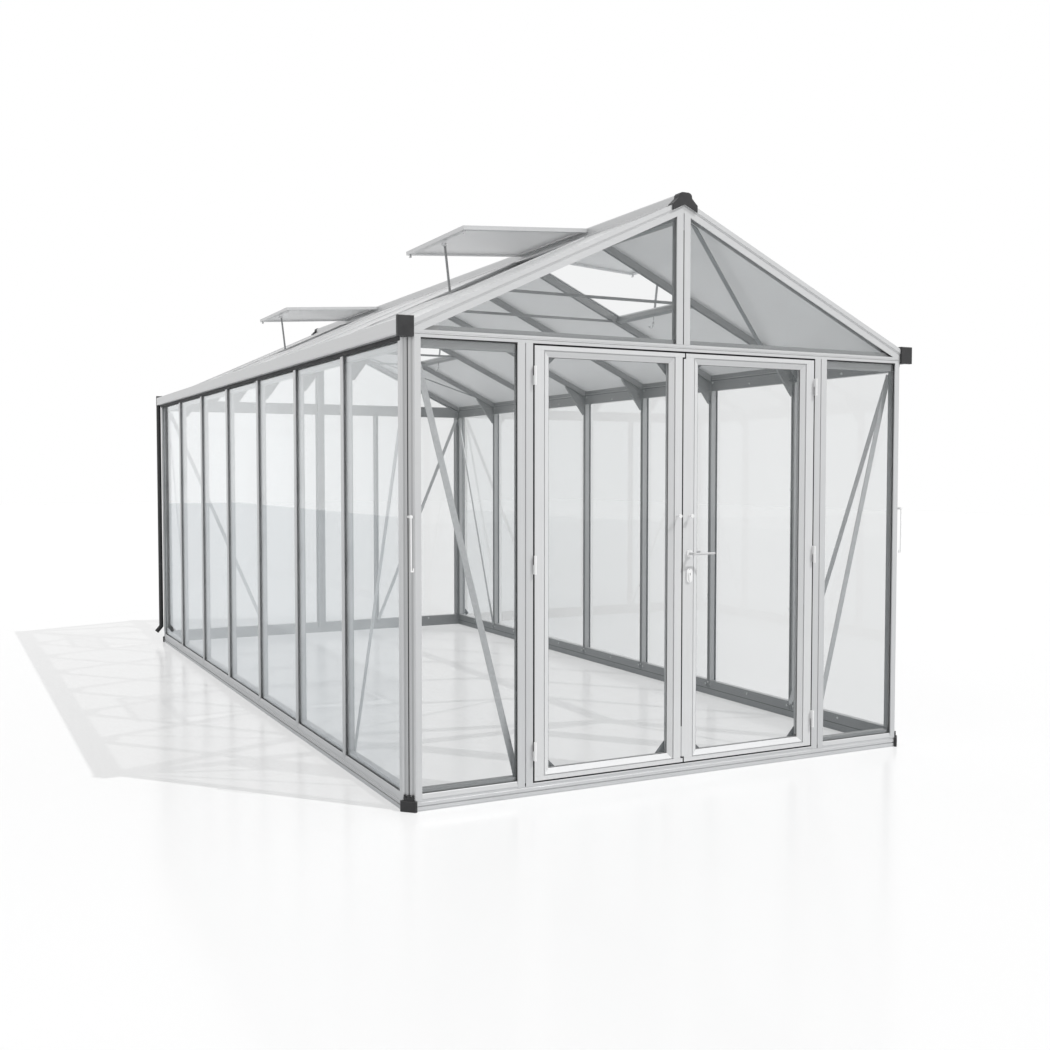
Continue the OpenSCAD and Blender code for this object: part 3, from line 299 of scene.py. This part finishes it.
finishes = {
    "rail_x": anodised("aluminium_rail_across", *silver, "x"),
    "rail_y": anodised("aluminium_rail_along", *silver, "y"),
    "upright": anodised("aluminium_upright", *silver, "z"),
    # The leaves take a lighter painted shade on their inner faces, and the corner posts painted shade in
    # their flutes too.
    "leaf": anodised("aluminium_leaf", *pale_silver, "z", 0.12, (0.48, 0.58), painted_shade_level=0.72),
    "fluted": anodised("aluminium_corner_post", *silver, "z", fluted=True),
    "slope_left": anodised("aluminium_slope_left", *silver, "x", turn=down_left),
    "slope_right": anodised("aluminium_slope_right", *silver, "x", turn=down_right),
    "pane": clear_pane("clear_pane", *pane_tints, 0.085, 0.50),
    "opal_left": opal_sheet("opal_sheet_left", down_left, *opal, 0.76),
    "opal_right": opal_sheet("opal_sheet_right", down_right, *opal, 0.75),
    "opal_vent": opal_sheet("opal_sheet_vent", down_left, *opal, 0.80),
    "black": moulded("black_plastic", *soft_black),
    "lit_brace": rolled("wall_brace_painted_lit", *painted_lit_strap, 0.5),
    "shaded_brace": rolled("brace_painted_shade", *painted_shaded_strap, 0.5),
    # Dark grey strips that paint the shade in joints and under the bars' caps.
    "groove": moulded("shadow_bead", *shadow_grey),
    "rubber": moulded("black_rubber", *deep_black, (0.55, 0.7), 1400.0, 0.00005),
    "steel": rolled("zinc_screw", *zinc, 0.6, (0.24, 0.36)),
    "satin": moulded("satin_lever", *lever_grey, (0.30, 0.38), 500.0, 0.00004),
    "white": moulded("white_fitting", *paint_white, (0.26, 0.36), 600.0, 0.00005),
}
coats = {
    "rail_x": "sill_front sill_back tie_beam_front tie_beam_back haunch_plates collar_ties",
    "rail_y": "sill_left sill_right eaves_gutter_left eaves_gutter_right ridge_bar vent_trimmers vent_frames",
    "fluted": "corner_posts",
    "upright": "wall_bars_left wall_bars_right door_jambs back_posts king_posts",
    "leaf": "door_left_frame door_right_frame",
    "slope_left": "rafters_left gable_bars",
    "slope_right": "rafters_right",
    "pane": "glass_left glass_right glass_front glass_back door_left_glass door_right_glass",
    "opal_left": "roof_sheets_left",
    "opal_right": "roof_sheets_right",
    "opal_vent": "vent_sheets",
    "black": "base_feet gutter_caps downpipes ridge_caps",
    "lit_brace": "wall_braces",
    "shaded_brace": "roof_braces vent_stays door_left_gussets door_right_gussets",
    "satin": "lever_handle",
    "white": "wall_fittings door_left_fittings door_right_fittings hold_hook_left hold_hook_right",
}
for coat, names in coats.items():
    for node in names.split():
        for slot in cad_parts[node].material_slots:
            slot.material = finishes[coat]


# ---------------------------------------------------------------- workshop
def nothing_chosen():
    """Leaves edit mode and lets go of everything."""
    if bpy.context.mode != "OBJECT":
        bpy.ops.object.mode_set(mode="OBJECT")
    bpy.ops.object.select_all(action="DESELECT")


def choose_faces(piece, wanted):
    """Selects the faces that are wanted and no others, in edit mode."""
    shell = bmesh.from_edit_mesh(piece.data)
    for face in shell.faces:
        face.select_set(wanted(face))
    bmesh.update_edit_mesh(piece.data)


def strip(low, high, edge, lip=None):
    """Straight strip with eased edges, and a raised lip down one face if asked."""
    lip_inset, lip_rise = 0.28, 0.0005
    nothing_chosen()
    low, high = [min(a, b) for a, b in zip(low, high)], [max(a, b) for a, b in zip(low, high)]
    middle = [(a + b) / 2 for a, b in zip(low, high)]
    size = [b - a for a, b in zip(low, high)]
    bpy.ops.mesh.primitive_cube_add(size=1, location=middle, scale=size)
    piece = bpy.context.object
    bpy.ops.object.transform_apply(location=True, rotation=True, scale=True)
    bpy.ops.object.mode_set(mode="EDIT")
    bpy.ops.mesh.select_mode(type="FACE")
    if lip:
        out = Vector(lip).normalized()
        choose_faces(piece, lambda face: face.normal.dot(out) > 0.9)
        bpy.ops.mesh.inset(thickness=min(size) * lip_inset)
        bpy.ops.mesh.extrude_region_move(TRANSFORM_OT_translate={"value": out * lip_rise})
    bpy.ops.mesh.select_all(action="SELECT")
    bpy.ops.mesh.bevel(offset=edge, segments=1)
    bpy.ops.object.mode_set(mode="OBJECT")
    return piece


def ring(x0, x1, y0, y1, z0, z1, t, edge):
    """Four strips of thickness t, just inside the sides of an opening in the front wall."""
    return [
        strip((x0, y0, z0), (x0 + t, y1, z1), edge),
        strip((x1 - t, y0, z0), (x1, y1, z1), edge),
        strip((x0, y0, z0), (x1, y1, z0 + t), edge),
        strip((x0, y0, z1 - t), (x1, y1, z1), edge),
    ]


def joined(name, pieces, coat, body):
    """Makes one named piece of several, coats it and sets it on its body."""
    nothing_chosen()
    for piece in pieces:
        piece.select_set(True)
    bpy.context.view_layer.objects.active = pieces[0]
    if len(pieces) > 1:
        bpy.ops.object.join()
    piece = bpy.context.object
    piece.name = name
    piece.data.name = name
    piece.data.materials.clear()
    piece.data.materials.append(finishes[coat])
    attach(piece, body)


def screw_head(radius, height):
    """Pan head with a recess, standing up from z = 0."""
    dome, crown, rim, recess = 0.45, 0.68, 0.24, 0.6
    nothing_chosen()
    bpy.ops.mesh.primitive_cylinder_add(vertices=12, radius=radius, depth=height, location=(0, 0, height / 2))
    head = bpy.context.object
    bpy.ops.object.transform_apply(location=True, rotation=True, scale=True)
    bpy.ops.object.mode_set(mode="EDIT")
    bpy.ops.mesh.select_mode(type="FACE")
    choose_faces(head, lambda face: face.normal.z > 0.9)
    bpy.ops.mesh.extrude_region_move(TRANSFORM_OT_translate={"value": (0, 0, height * dome)})
    bpy.ops.transform.resize(value=(crown, crown, 1), center_override=(0, 0, height))
    bpy.ops.mesh.inset(thickness=radius * rim)
    bpy.ops.mesh.extrude_region_move(TRANSFORM_OT_translate={"value": (0, 0, -height * recess)})
    bpy.ops.object.mode_set(mode="OBJECT")
    return head


def set_screws(name, size, places, body):
    """Sets a screw of the given radius and height at each place, its head turned to face out."""
    model = screw_head(*size)
    copies = []
    for point, out in places:
        copy = model.copy()
        copy.data = model.data.copy()
        bpy.context.scene.collection.objects.link(copy)
        turn = Vector(out).to_track_quat("Z", "Y").to_matrix().to_4x4()
        copy.data.transform(Matrix.Translation(point) @ turn)
        copies.append(copy)
    joined(name, copies, "steel", body)
    bpy.data.objects.remove(model)


def bent_rod(points, radius):
    """Round rod drawn through the points, square to its first run."""
    nothing_chosen()
    points = [Vector(p) for p in points]
    run = (points[1] - points[0]).normalized()
    turn = run.to_track_quat("Z", "Y").to_euler()
    bpy.ops.mesh.primitive_circle_add(
        vertices=8, radius=radius, fill_type="NGON", location=points[0], rotation=turn
    )
    rod = bpy.context.object
    bpy.ops.object.transform_apply(location=True, rotation=True, scale=True)
    bpy.ops.object.mode_set(mode="EDIT")
    bpy.ops.mesh.select_mode(type="FACE")
    bpy.ops.mesh.select_all(action="SELECT")
    for here, there in zip(points, points[1:]):
        bpy.ops.mesh.extrude_region_move(TRANSFORM_OT_translate={"value": there - here})
    bpy.ops.mesh.select_all(action="SELECT")
    bpy.ops.mesh.normals_make_consistent(inside=False)
    bpy.ops.object.mode_set(mode="OBJECT")
    bpy.ops.object.shade_smooth_by_angle(angle=math.radians(50))
    return rod


# ---------------------------------------------------------------- door seals
seal_t = 0.0018
seal_y = (front + 0.0015, front + 0.030)


def seal_bar(x0, x1, z0, z1, lip=None):
    """Straight run of a leaf's seal."""
    return strip((x0, seal_y[0], z0), (x1, seal_y[1], z1), 0.0003, lip)


def door_seals():
    """Black seals round the edges of both leaves, following the steps at the ends of the lap."""
    z0, z1 = leaf_low[2], leaf_top[2]
    meet = leaf_low[0]
    rail = 0.018
    notch = 0.025
    runs = [
        seal_bar(left_leaf_edge - seal_t, left_leaf_edge, z0 - seal_t, z1 + seal_t, (-1, 0, 0)),
        seal_bar(-meet, -meet + seal_t, z0 + rail, z1 - rail, (1, 0, 0)),
    ]
    for edge, step in ((z0, 1), (z1, -1)):
        runs.append(seal_bar(left_leaf_edge - seal_t, left_lap + seal_t, edge - step * seal_t, edge))
        runs.append(seal_bar(left_lap, left_lap + seal_t, edge - step * seal_t, edge + step * rail))
        runs.append(seal_bar(-meet, left_lap + seal_t, edge + step * rail, edge + step * (rail + seal_t)))
    joined("door_left_seal", runs, "rubber", "door_left")
    notch_x = left_lap + leaf_gap
    runs = [
        seal_bar(leaf_top[0], leaf_top[0] + seal_t, z0 - seal_t, z1 + seal_t, (1, 0, 0)),
        seal_bar(meet - seal_t, meet, z0 + notch, z1 - notch, (-1, 0, 0)),
    ]
    for edge, step in ((z0, 1), (z1, -1)):
        runs.append(seal_bar(notch_x - seal_t, leaf_top[0] + seal_t, edge - step * seal_t, edge))
        runs.append(seal_bar(notch_x - seal_t, notch_x, edge - step * seal_t, edge + step * notch))
        runs.append(seal_bar(meet - seal_t, notch_x, edge + step * (notch - seal_t), edge + step * notch))
    joined("door_right_seal", runs, "rubber", "door_right")


def doorway_shade_lining():
    """Black lining of the doorway that paints the shade behind the gaps round the leaves."""
    y0, y1 = front + 0.0012, front + 0.035
    z0 = leaf_low[2] - leaf_gap
    runs = ring(-jamb_edge, jamb_edge, y0, y1, z0, eaves, 0.0012, 0.0003)
    joined("doorway_shade_lining", runs, "rubber", "house")


def meeting_plug():
    """Plug that closes the lowest part of the gap between the leaves."""
    y0, y1 = front + 0.0006, front + 0.010
    z0, z1 = leaf_low[2] + 0.0272, leaf_low[2] + 0.165
    clear = 0.0003
    reach = leaf_low[0] - clear
    plug = strip((-reach + clear, y0, z0), (reach, y1, z1), 0.0005, (0, -1, 0))
    joined("meeting_gap_plug", [plug], "upright", "door_right")


# ---------------------------------------------------------------- glazing seals
def glazing_seals():
    """Dark beads between the caps and the panes, just showing beside each cap; the side walls' beads also
    paint the shade under the caps.
    """
    low, high = 0.0735, eaves - 0.0128
    near, far = 0.0125, 0.0172
    for hand, sign in (("left", -1), ("right", 1)):
        x0, x1 = sign * (side - 0.0062), sign * (side - 0.0090)
        runs = [
            strip((x0, y + s * near, low), (x1, y + s * far, high), 0.0004)
            for y in bars
            for s in (-1, 1)
        ]
        joined("pane_seals_" + hand, runs, "groove", "house")
    runs = []
    jamb = jamb_edge + jamb_w
    y0, y1 = front + 0.0062, front + 0.0118
    for s in (-1, 1):
        runs.append(strip((s * (jamb - 0.0015), y0, low), (s * (jamb + 0.0018), y1, high), 0.0005))
        # under the tie beam's face, over the side panes
        beam_low = (s * jamb, front + 0.0006, eaves - 0.0045)
        beam_high = (s * (side - 0.072), front + 0.0115, eaves - 0.0002)
        runs.append(strip(beam_low, beam_high, 0.0005))
    joined("pane_seals_front", runs, "rubber", "house")
    y0, y1 = back - 0.0062, back - 0.0118
    runs = [strip((s * 0.0355, y0, low), (s * 0.0388, y1, high), 0.0005) for s in (-1, 1)]
    joined("pane_seals_back", runs, "rubber", "house")


def leaf_glass_seals():
    """Thin beads that close the glass against the sloping beads of each leaf."""
    y0, y1 = front + 0.0142, front + 0.0163
    rail, hinge_stile = 0.047, 0.074
    left_meeting_stile, right_meeting_stile = 0.067, 0.086
    z0, z1 = leaf_low[2] + rail, leaf_top[2] - rail
    for name, x0, x1 in (
        ("left", left_leaf_edge + hinge_stile, -leaf_low[0] - left_meeting_stile),
        ("right", leaf_low[0] + right_meeting_stile, leaf_top[0] - hinge_stile),
    ):
        runs = ring(x0, x1, y0, y1, z0, z1, 0.0012, 0.0004)
        joined("leaf_glass_seal_" + name, runs, "rubber", "door_" + name)


# ---------------------------------------------------------------- strips in the posts and rails
def post_inserts():
    """Black strips pressed into the grooves of the king posts, and plugs at the jambs' feet."""
    half = 0.0024
    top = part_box("king_posts")[1][2]
    z1 = top - 0.075
    y0, y1 = front + 0.0024, front + 0.0048
    runs = [
        strip((-half, y0, eaves + 0.034), (half, y1, z1), 0.0004, (0, -1, 0)),
        strip((-half, back - 0.0048, 0.10), (half, back - 0.0024, z1), 0.0004, (0, 1, 0)),
    ]
    centre = jamb_edge + jamb_w / 2
    for s in (-1, 1):
        x = s * centre
        runs.append(strip((x - half, front + 0.0003, 0.0455), (x + half, y1, 0.060), 0.0004))
    joined("post_inserts", runs, "rubber", "house")


def corner_post_beads():
    """Beads in the grooves down the slanted faces of the corner posts."""
    half = 0.0019
    chamfer = 0.045 / 2
    beads = []
    for s in (-1, 1):
        for end, t in ((front, 1), (back, -1)):
            bead = strip((-half, 0.0004, 0.050), (half, 0.0024, eaves - 0.002), 0.0003)
            turn = Matrix.Rotation(math.atan2(s, t), 4, "Z")
            bead.data.transform(Matrix.Translation((s * (side - chamfer), end + t * chamfer, 0)) @ turn)
            beads.append(bead)
    joined("corner_post_beads", beads, "rubber", "house")


def eaves_seals_and_shade():
    """Black seals under the gutters, along the tops of the side walls, which also paint the shade under the
    gutters.
    """
    end_in = 0.046
    z0, z1 = eaves - 0.0125, eaves + 0.0068
    runs = []
    for s in (-1, 1):
        low = (s * (side - 0.0003), front + end_in, z0)
        high = (s * (side + 0.0024), back - end_in, z1)
        runs.append(strip(low, high, 0.0006, (s, 0, 0)))
    joined("eaves_seals_and_shade", runs, "rubber", "house")


def rail_shade_lines():
    """Dark strips that paint the shade in the hairline joints along the tie beams' faces and the inner rails.
    """
    runs = []
    beam_end, rail_end = 0.046, 0.052
    beam_z = eaves + 0.0130
    for y, t in ((front, 1), (back, -1)):
        low = (-side + beam_end, y - t * 0.0002, beam_z)
        high = (side - beam_end, y + t * 0.0004, beam_z + 0.0016)
        runs.append(strip(low, high, 0.0002))
    for s in (-1, 1):
        x0, x1 = s * (inside - 0.0004), s * (inside + 0.0006)
        for z, thick in ((0.0365, 0.0040), (eaves + 0.0225, 0.0034)):
            runs.append(strip((x0, front + rail_end, z), (x1, back - rail_end, z + thick), 0.0002))
    joined("rail_shade_lines", runs, "groove", "house")


# ---------------------------------------------------------------- screws, each size a radius and a height
frame_screw = (0.0068, 0.0026)
plate_screw = (0.0026, 0.0016)
lock_screw = (0.0022, 0.0008)


def frame_screws():
    """Screws on the inner faces of the walls, at the bars' feet and heads and along the rails."""
    gap = 0.0002
    sill_z = 0.070
    places = []
    for s in (-1, 1):
        face = s * (inside - gap)
        out = (-s, 0, 0)
        for y in bars:
            for z, off in ((0.066, 0.026), (0.066, -0.026), (0.078, 0.0)):
                places.append(((face, y + off, z), out))
            for off in (0.030, -0.030):
                places.append(((face, y + off, eaves + 0.012), out))
            for z in (0.62, 1.30):
                places.append(((face, y + 0.009, z), out))
        for y in bay_middles:
            places.append(((face, y, sill_z), out))
            places.append(((face, y, eaves - 0.020), out))
    for x in (-1.0, -0.22, 0.22, 1.0):
        places.append(((x, back - bar_depth - gap, sill_z), (0, -1, 0)))
    for x in (-1.06, 1.06):
        places.append(((x, front + bar_depth + gap, sill_z), (0, 1, 0)))
        places.append(((x, front + bar_depth + gap, eaves + 0.02), (0, 1, 0)))
    set_screws("frame_screws", frame_screw, places, "house")


def haunch_screws():
    """A pair of screws twice through each haunch plate's lip on the bar, and two through its web."""
    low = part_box("haunch_plates")[0][2]
    lip_face, half_web = 0.0032, 0.0022
    places = []
    for s in (-1, 1):
        for y in bars:
            for z in (low + 0.022, low + 0.075):
                for off in (-0.0062, 0.0062):
                    places.append(((s * (inside - lip_face), y + off, z), (-s, 0, 0)))
            for face in (-1, 1):
                for reach, rise in ((0.028, 0.096), (0.052, 0.126)):
                    place = (s * (inside - reach), y + face * half_web, low + rise)
                    places.append((place, (0, face, 0)))
    set_screws("haunch_screws", plate_screw, places, "house")


def leaf_screws():
    """Three screws in each corner plate of the leaves, on the inside."""
    near, far = 0.022, 0.066
    face = front + 0.0415
    for name, x0, x1 in leaves:
        places = []
        for x, sx in ((x0, 1), (x1, -1)):
            for z, sz in ((leaf_low[2], 1), (leaf_top[2], -1)):
                for a, b in ((near, near), (far, near), (near, far)):
                    places.append(((x + sx * a, face, z + sz * b), (0, 1, 0)))
        set_screws("leaf_screws_" + name, frame_screw, places, "door_" + name)


def lock_fittings():
    """Screws of the rose and the lock plate, and the slot of the key."""
    lever_x = leaf_low[0] + 0.034
    rose_z, lock_z = 1.025, 0.925
    places = []
    for z in (rose_z + 0.0125, rose_z - 0.0125):
        places.append(((lever_x, front - 0.0081, z), (0, -1, 0)))
    for z in (lock_z + 0.028, lock_z - 0.028):
        places.append(((lever_x, front - 0.0061, z), (0, -1, 0)))
    set_screws("lock_screws", lock_screw, places, "door_right")
    half = 0.0013
    y0, y1 = front - 0.0104, front - 0.0099
    slot = strip((lever_x - half, y0, lock_z + 0.0005), (lever_x + half, y1, lock_z + 0.0115), 0.0002)
    joined("key_slot", [slot], "rubber", "door_right")


# ---------------------------------------------------------------- corner plates of the leaves
def leaf_corner_plates():
    """Thin plates behind the cast corners, their slanted edges showing past the stiles."""
    near, tall, cut = 0.017, 0.098, 0.044
    y0, y1 = front + 0.0393, front + 0.0413
    widths = {"left": (0.120, 0.116), "right": (0.128, 0.116)}
    for name, x0, x1 in leaves:
        plates = []
        for x, sx, wide in ((x0, 1, widths[name][0]), (x1, -1, widths[name][1])):
            for z, sz in ((leaf_low[2], 1), (leaf_top[2], -1)):
                plate = strip((x + sx * near, y0, z + sz * near), (x + sx * wide, y1, z + sz * tall), 0.0004)
                bpy.ops.object.mode_set(mode="EDIT")
                bpy.ops.mesh.select_all(action="SELECT")
                bpy.ops.mesh.bisect(
                    plane_co=(x + sx * wide, front, z + sz * cut),
                    plane_no=(sx * (tall - cut), 0, sz * (wide - 0.066)),
                    use_fill=True,
                    clear_outer=True,
                )
                bpy.ops.object.mode_set(mode="OBJECT")
                plates.append(plate)
        # The corner plates take the brace strip's darker tone, which is painted shade.
        joined("leaf_corner_plates_" + name, plates, "shaded_brace", "door_" + name)


# ---------------------------------------------------------------- vent fittings
def stay_hook(s, middle, stay_low, stay_top):
    """Hooked tail of a vent's stay, hanging below its foot in line with it."""
    foot_x, head_x = 0.630, 0.660
    tail, radius = 0.105, 0.0038
    lean = Vector((s * (head_x - foot_x), 0, stay_top[2] - stay_low[2])).normalized()
    at = Vector((s * foot_x, middle, stay_low[2] + 0.012))
    end = at - lean * tail
    curl = ((0.004, 0.009), (0.012, 0.014), (0.021, 0.012), (0.026, 0.004))
    return bent_rod([at, end] + [end + Vector((-s * out, 0, -down)) for out, down in curl], radius)


def rim_catches(s, y, flap_low, flap_top):
    """Catch with a small foot, under a vent's lower rim."""
    edge = s * (flap_top[0] - 0.016)
    half_x, half_y, foot_y = 0.006, 0.002, 0.010
    z = flap_low[2]
    return [
        strip((edge - half_x, y - half_y, z - 0.012), (edge + half_x, y + half_y, z + 0.003), 0.0008),
        strip((edge - half_x, y - half_y, z - 0.014), (edge + half_x, y + foot_y, z - 0.0105), 0.0008),
    ]


def vent_fittings():
    """Hooked tails of the stays, brackets that take their heads, and catches under the rims."""
    stay_low, stay_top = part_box("vent_stays")
    flap_low, flap_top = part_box("vent_frames")
    catch_in = 0.035
    handles = []
    catches = []
    second_bay, sixth_bay = bay_middles[1], bay_middles[5]
    for middle in (second_bay, sixth_bay):
        for s in (-1, 1):
            handles.append(stay_hook(s, middle, stay_low, stay_top))
            low = (s * 0.652, middle - 0.011, stay_top[2] - 0.016)
            high = (s * 0.678, middle - 0.0032, stay_top[2] + 0.001)
            catches.append(strip(low, high, 0.001))
            for off in (-bay / 2 + catch_in, bay / 2 - catch_in):
                catches += rim_catches(s, middle + off, flap_low, flap_top)
    joined("vent_stay_hooks", handles, "steel", "house")
    joined("vent_catches", catches, "steel", "house")


door_seals()
doorway_shade_lining()
meeting_plug()
glazing_seals()
leaf_glass_seals()
post_inserts()
corner_post_beads()
eaves_seals_and_shade()
rail_shade_lines()
frame_screws()
haunch_screws()
leaf_screws()
lock_fittings()
leaf_corner_plates()
vent_fittings()


# ---------------------------------------------------------------- studio
def glow(nodes, colour):
    """Plain light of one colour."""
    shine = nodes.new("ShaderNodeEmission")
    shine.inputs["Color"].default_value = (*colour, 1)
    return shine.outputs[0]


def blended(nodes, links, share, first, second):
    """First surface, with the given share of the second in it."""
    mix = nodes.new("ShaderNodeMixShader")
    links.new(share, mix.inputs["Fac"])
    links.new(first, mix.inputs[1])
    links.new(second, mix.inputs[2])
    return mix.outputs[0]


def studio_floor():
    """Pale floor, a little brighter where the camera sees it straight and greyer in reflections."""
    middle = (8, 10.5, 0)
    across, along = 42, 79
    bpy.ops.object.select_all(action="DESELECT")
    bpy.ops.mesh.primitive_plane_add(size=1, location=middle)
    floor = bpy.context.object
    bpy.ops.transform.resize(value=(across, along, 1), center_override=middle)
    bpy.ops.object.transform_apply(location=True, rotation=True, scale=True)
    floor.name = "studio_floor"
    finish, nodes, links, shader = new_finish("pale_floor")
    cloud = cloudy(nodes, links, place_on_piece(nodes, links), 0.4, 2.0)
    links.new(ramp(nodes, links, cloud, (0.93, 0.93, 0.93), (0.95, 0.95, 0.95)), shader.inputs["Base Color"])
    shader.inputs["Roughness"].default_value = 0.16
    shader.inputs["Specular IOR Level"].default_value = 0.35
    seen = nodes.new("ShaderNodeLightPath")
    lit = reckoned(nodes, links, "MULTIPLY", seen.outputs["Is Camera Ray"], 0.46)
    direct = blended(nodes, links, lit, shader.outputs[0], glow(nodes, (1, 1, 1)))
    mirrored = reckoned(nodes, links, "MULTIPLY", seen.outputs["Is Glossy Ray"], 0.6)
    surface = blended(nodes, links, mirrored, direct, glow(nodes, (0.57, 0.60, 0.625)))
    links.new(surface, nodes["Material Output"].inputs["Surface"])
    floor.data.materials.append(finish)


def studio_light():
    """One key light, high at the right front, and an even white world."""
    sun = bpy.data.lights.new("studio_key", "SUN")
    sun.energy = 1.95
    sun.angle = math.radians(0.45)
    key = bpy.data.objects.new("studio_key", sun)
    # the way the key's light travels
    x, y, z = (-0.515, 0.595, -1.0)
    key.rotation_euler = (math.atan2(math.hypot(x, y), -z), 0, math.atan2(y, x) - math.pi / 2)
    bpy.context.scene.collection.objects.link(key)
    world = bpy.data.worlds.new("pale_studio")
    bpy.context.scene.world = world
    world.use_nodes = True
    nodes, links = world.node_tree.nodes, world.node_tree.links
    ground = nodes["Background"]
    ground.inputs["Color"].default_value = (1, 1, 1, 1)
    seen = nodes.new("ShaderNodeLightPath").outputs
    straight = reckoned(nodes, links, "MAXIMUM", seen["Is Camera Ray"], seen["Is Glossy Ray"])
    white = reckoned(nodes, links, "MAXIMUM", straight, seen["Is Transmission Ray"])
    links.new(spread(nodes, links, white, 0.58, 1.0, 0.0, 1.0), ground.inputs["Strength"])


def studio_camera():
    """Stands at eye height in front of the house and to its left, turned a little to the right."""
    camera = bpy.data.cameras.new("studio_camera")
    camera.lens = 40.54
    camera.sensor_width = 36.0
    camera.clip_end = 400.0
    seat = bpy.data.objects.new("studio_camera", camera)
    look_down, look_right = 0.0433, 0.4672
    seat.location = (-3.070, front - 4.4908, 1.3902)
    seat.rotation_euler = (math.pi / 2 - look_down, 0, -look_right)
    bpy.context.scene.collection.objects.link(seat)
    bpy.context.scene.camera = seat


studio_floor()
studio_light()
studio_camera()
bpy.context.scene.view_settings.view_transform = "Standard"
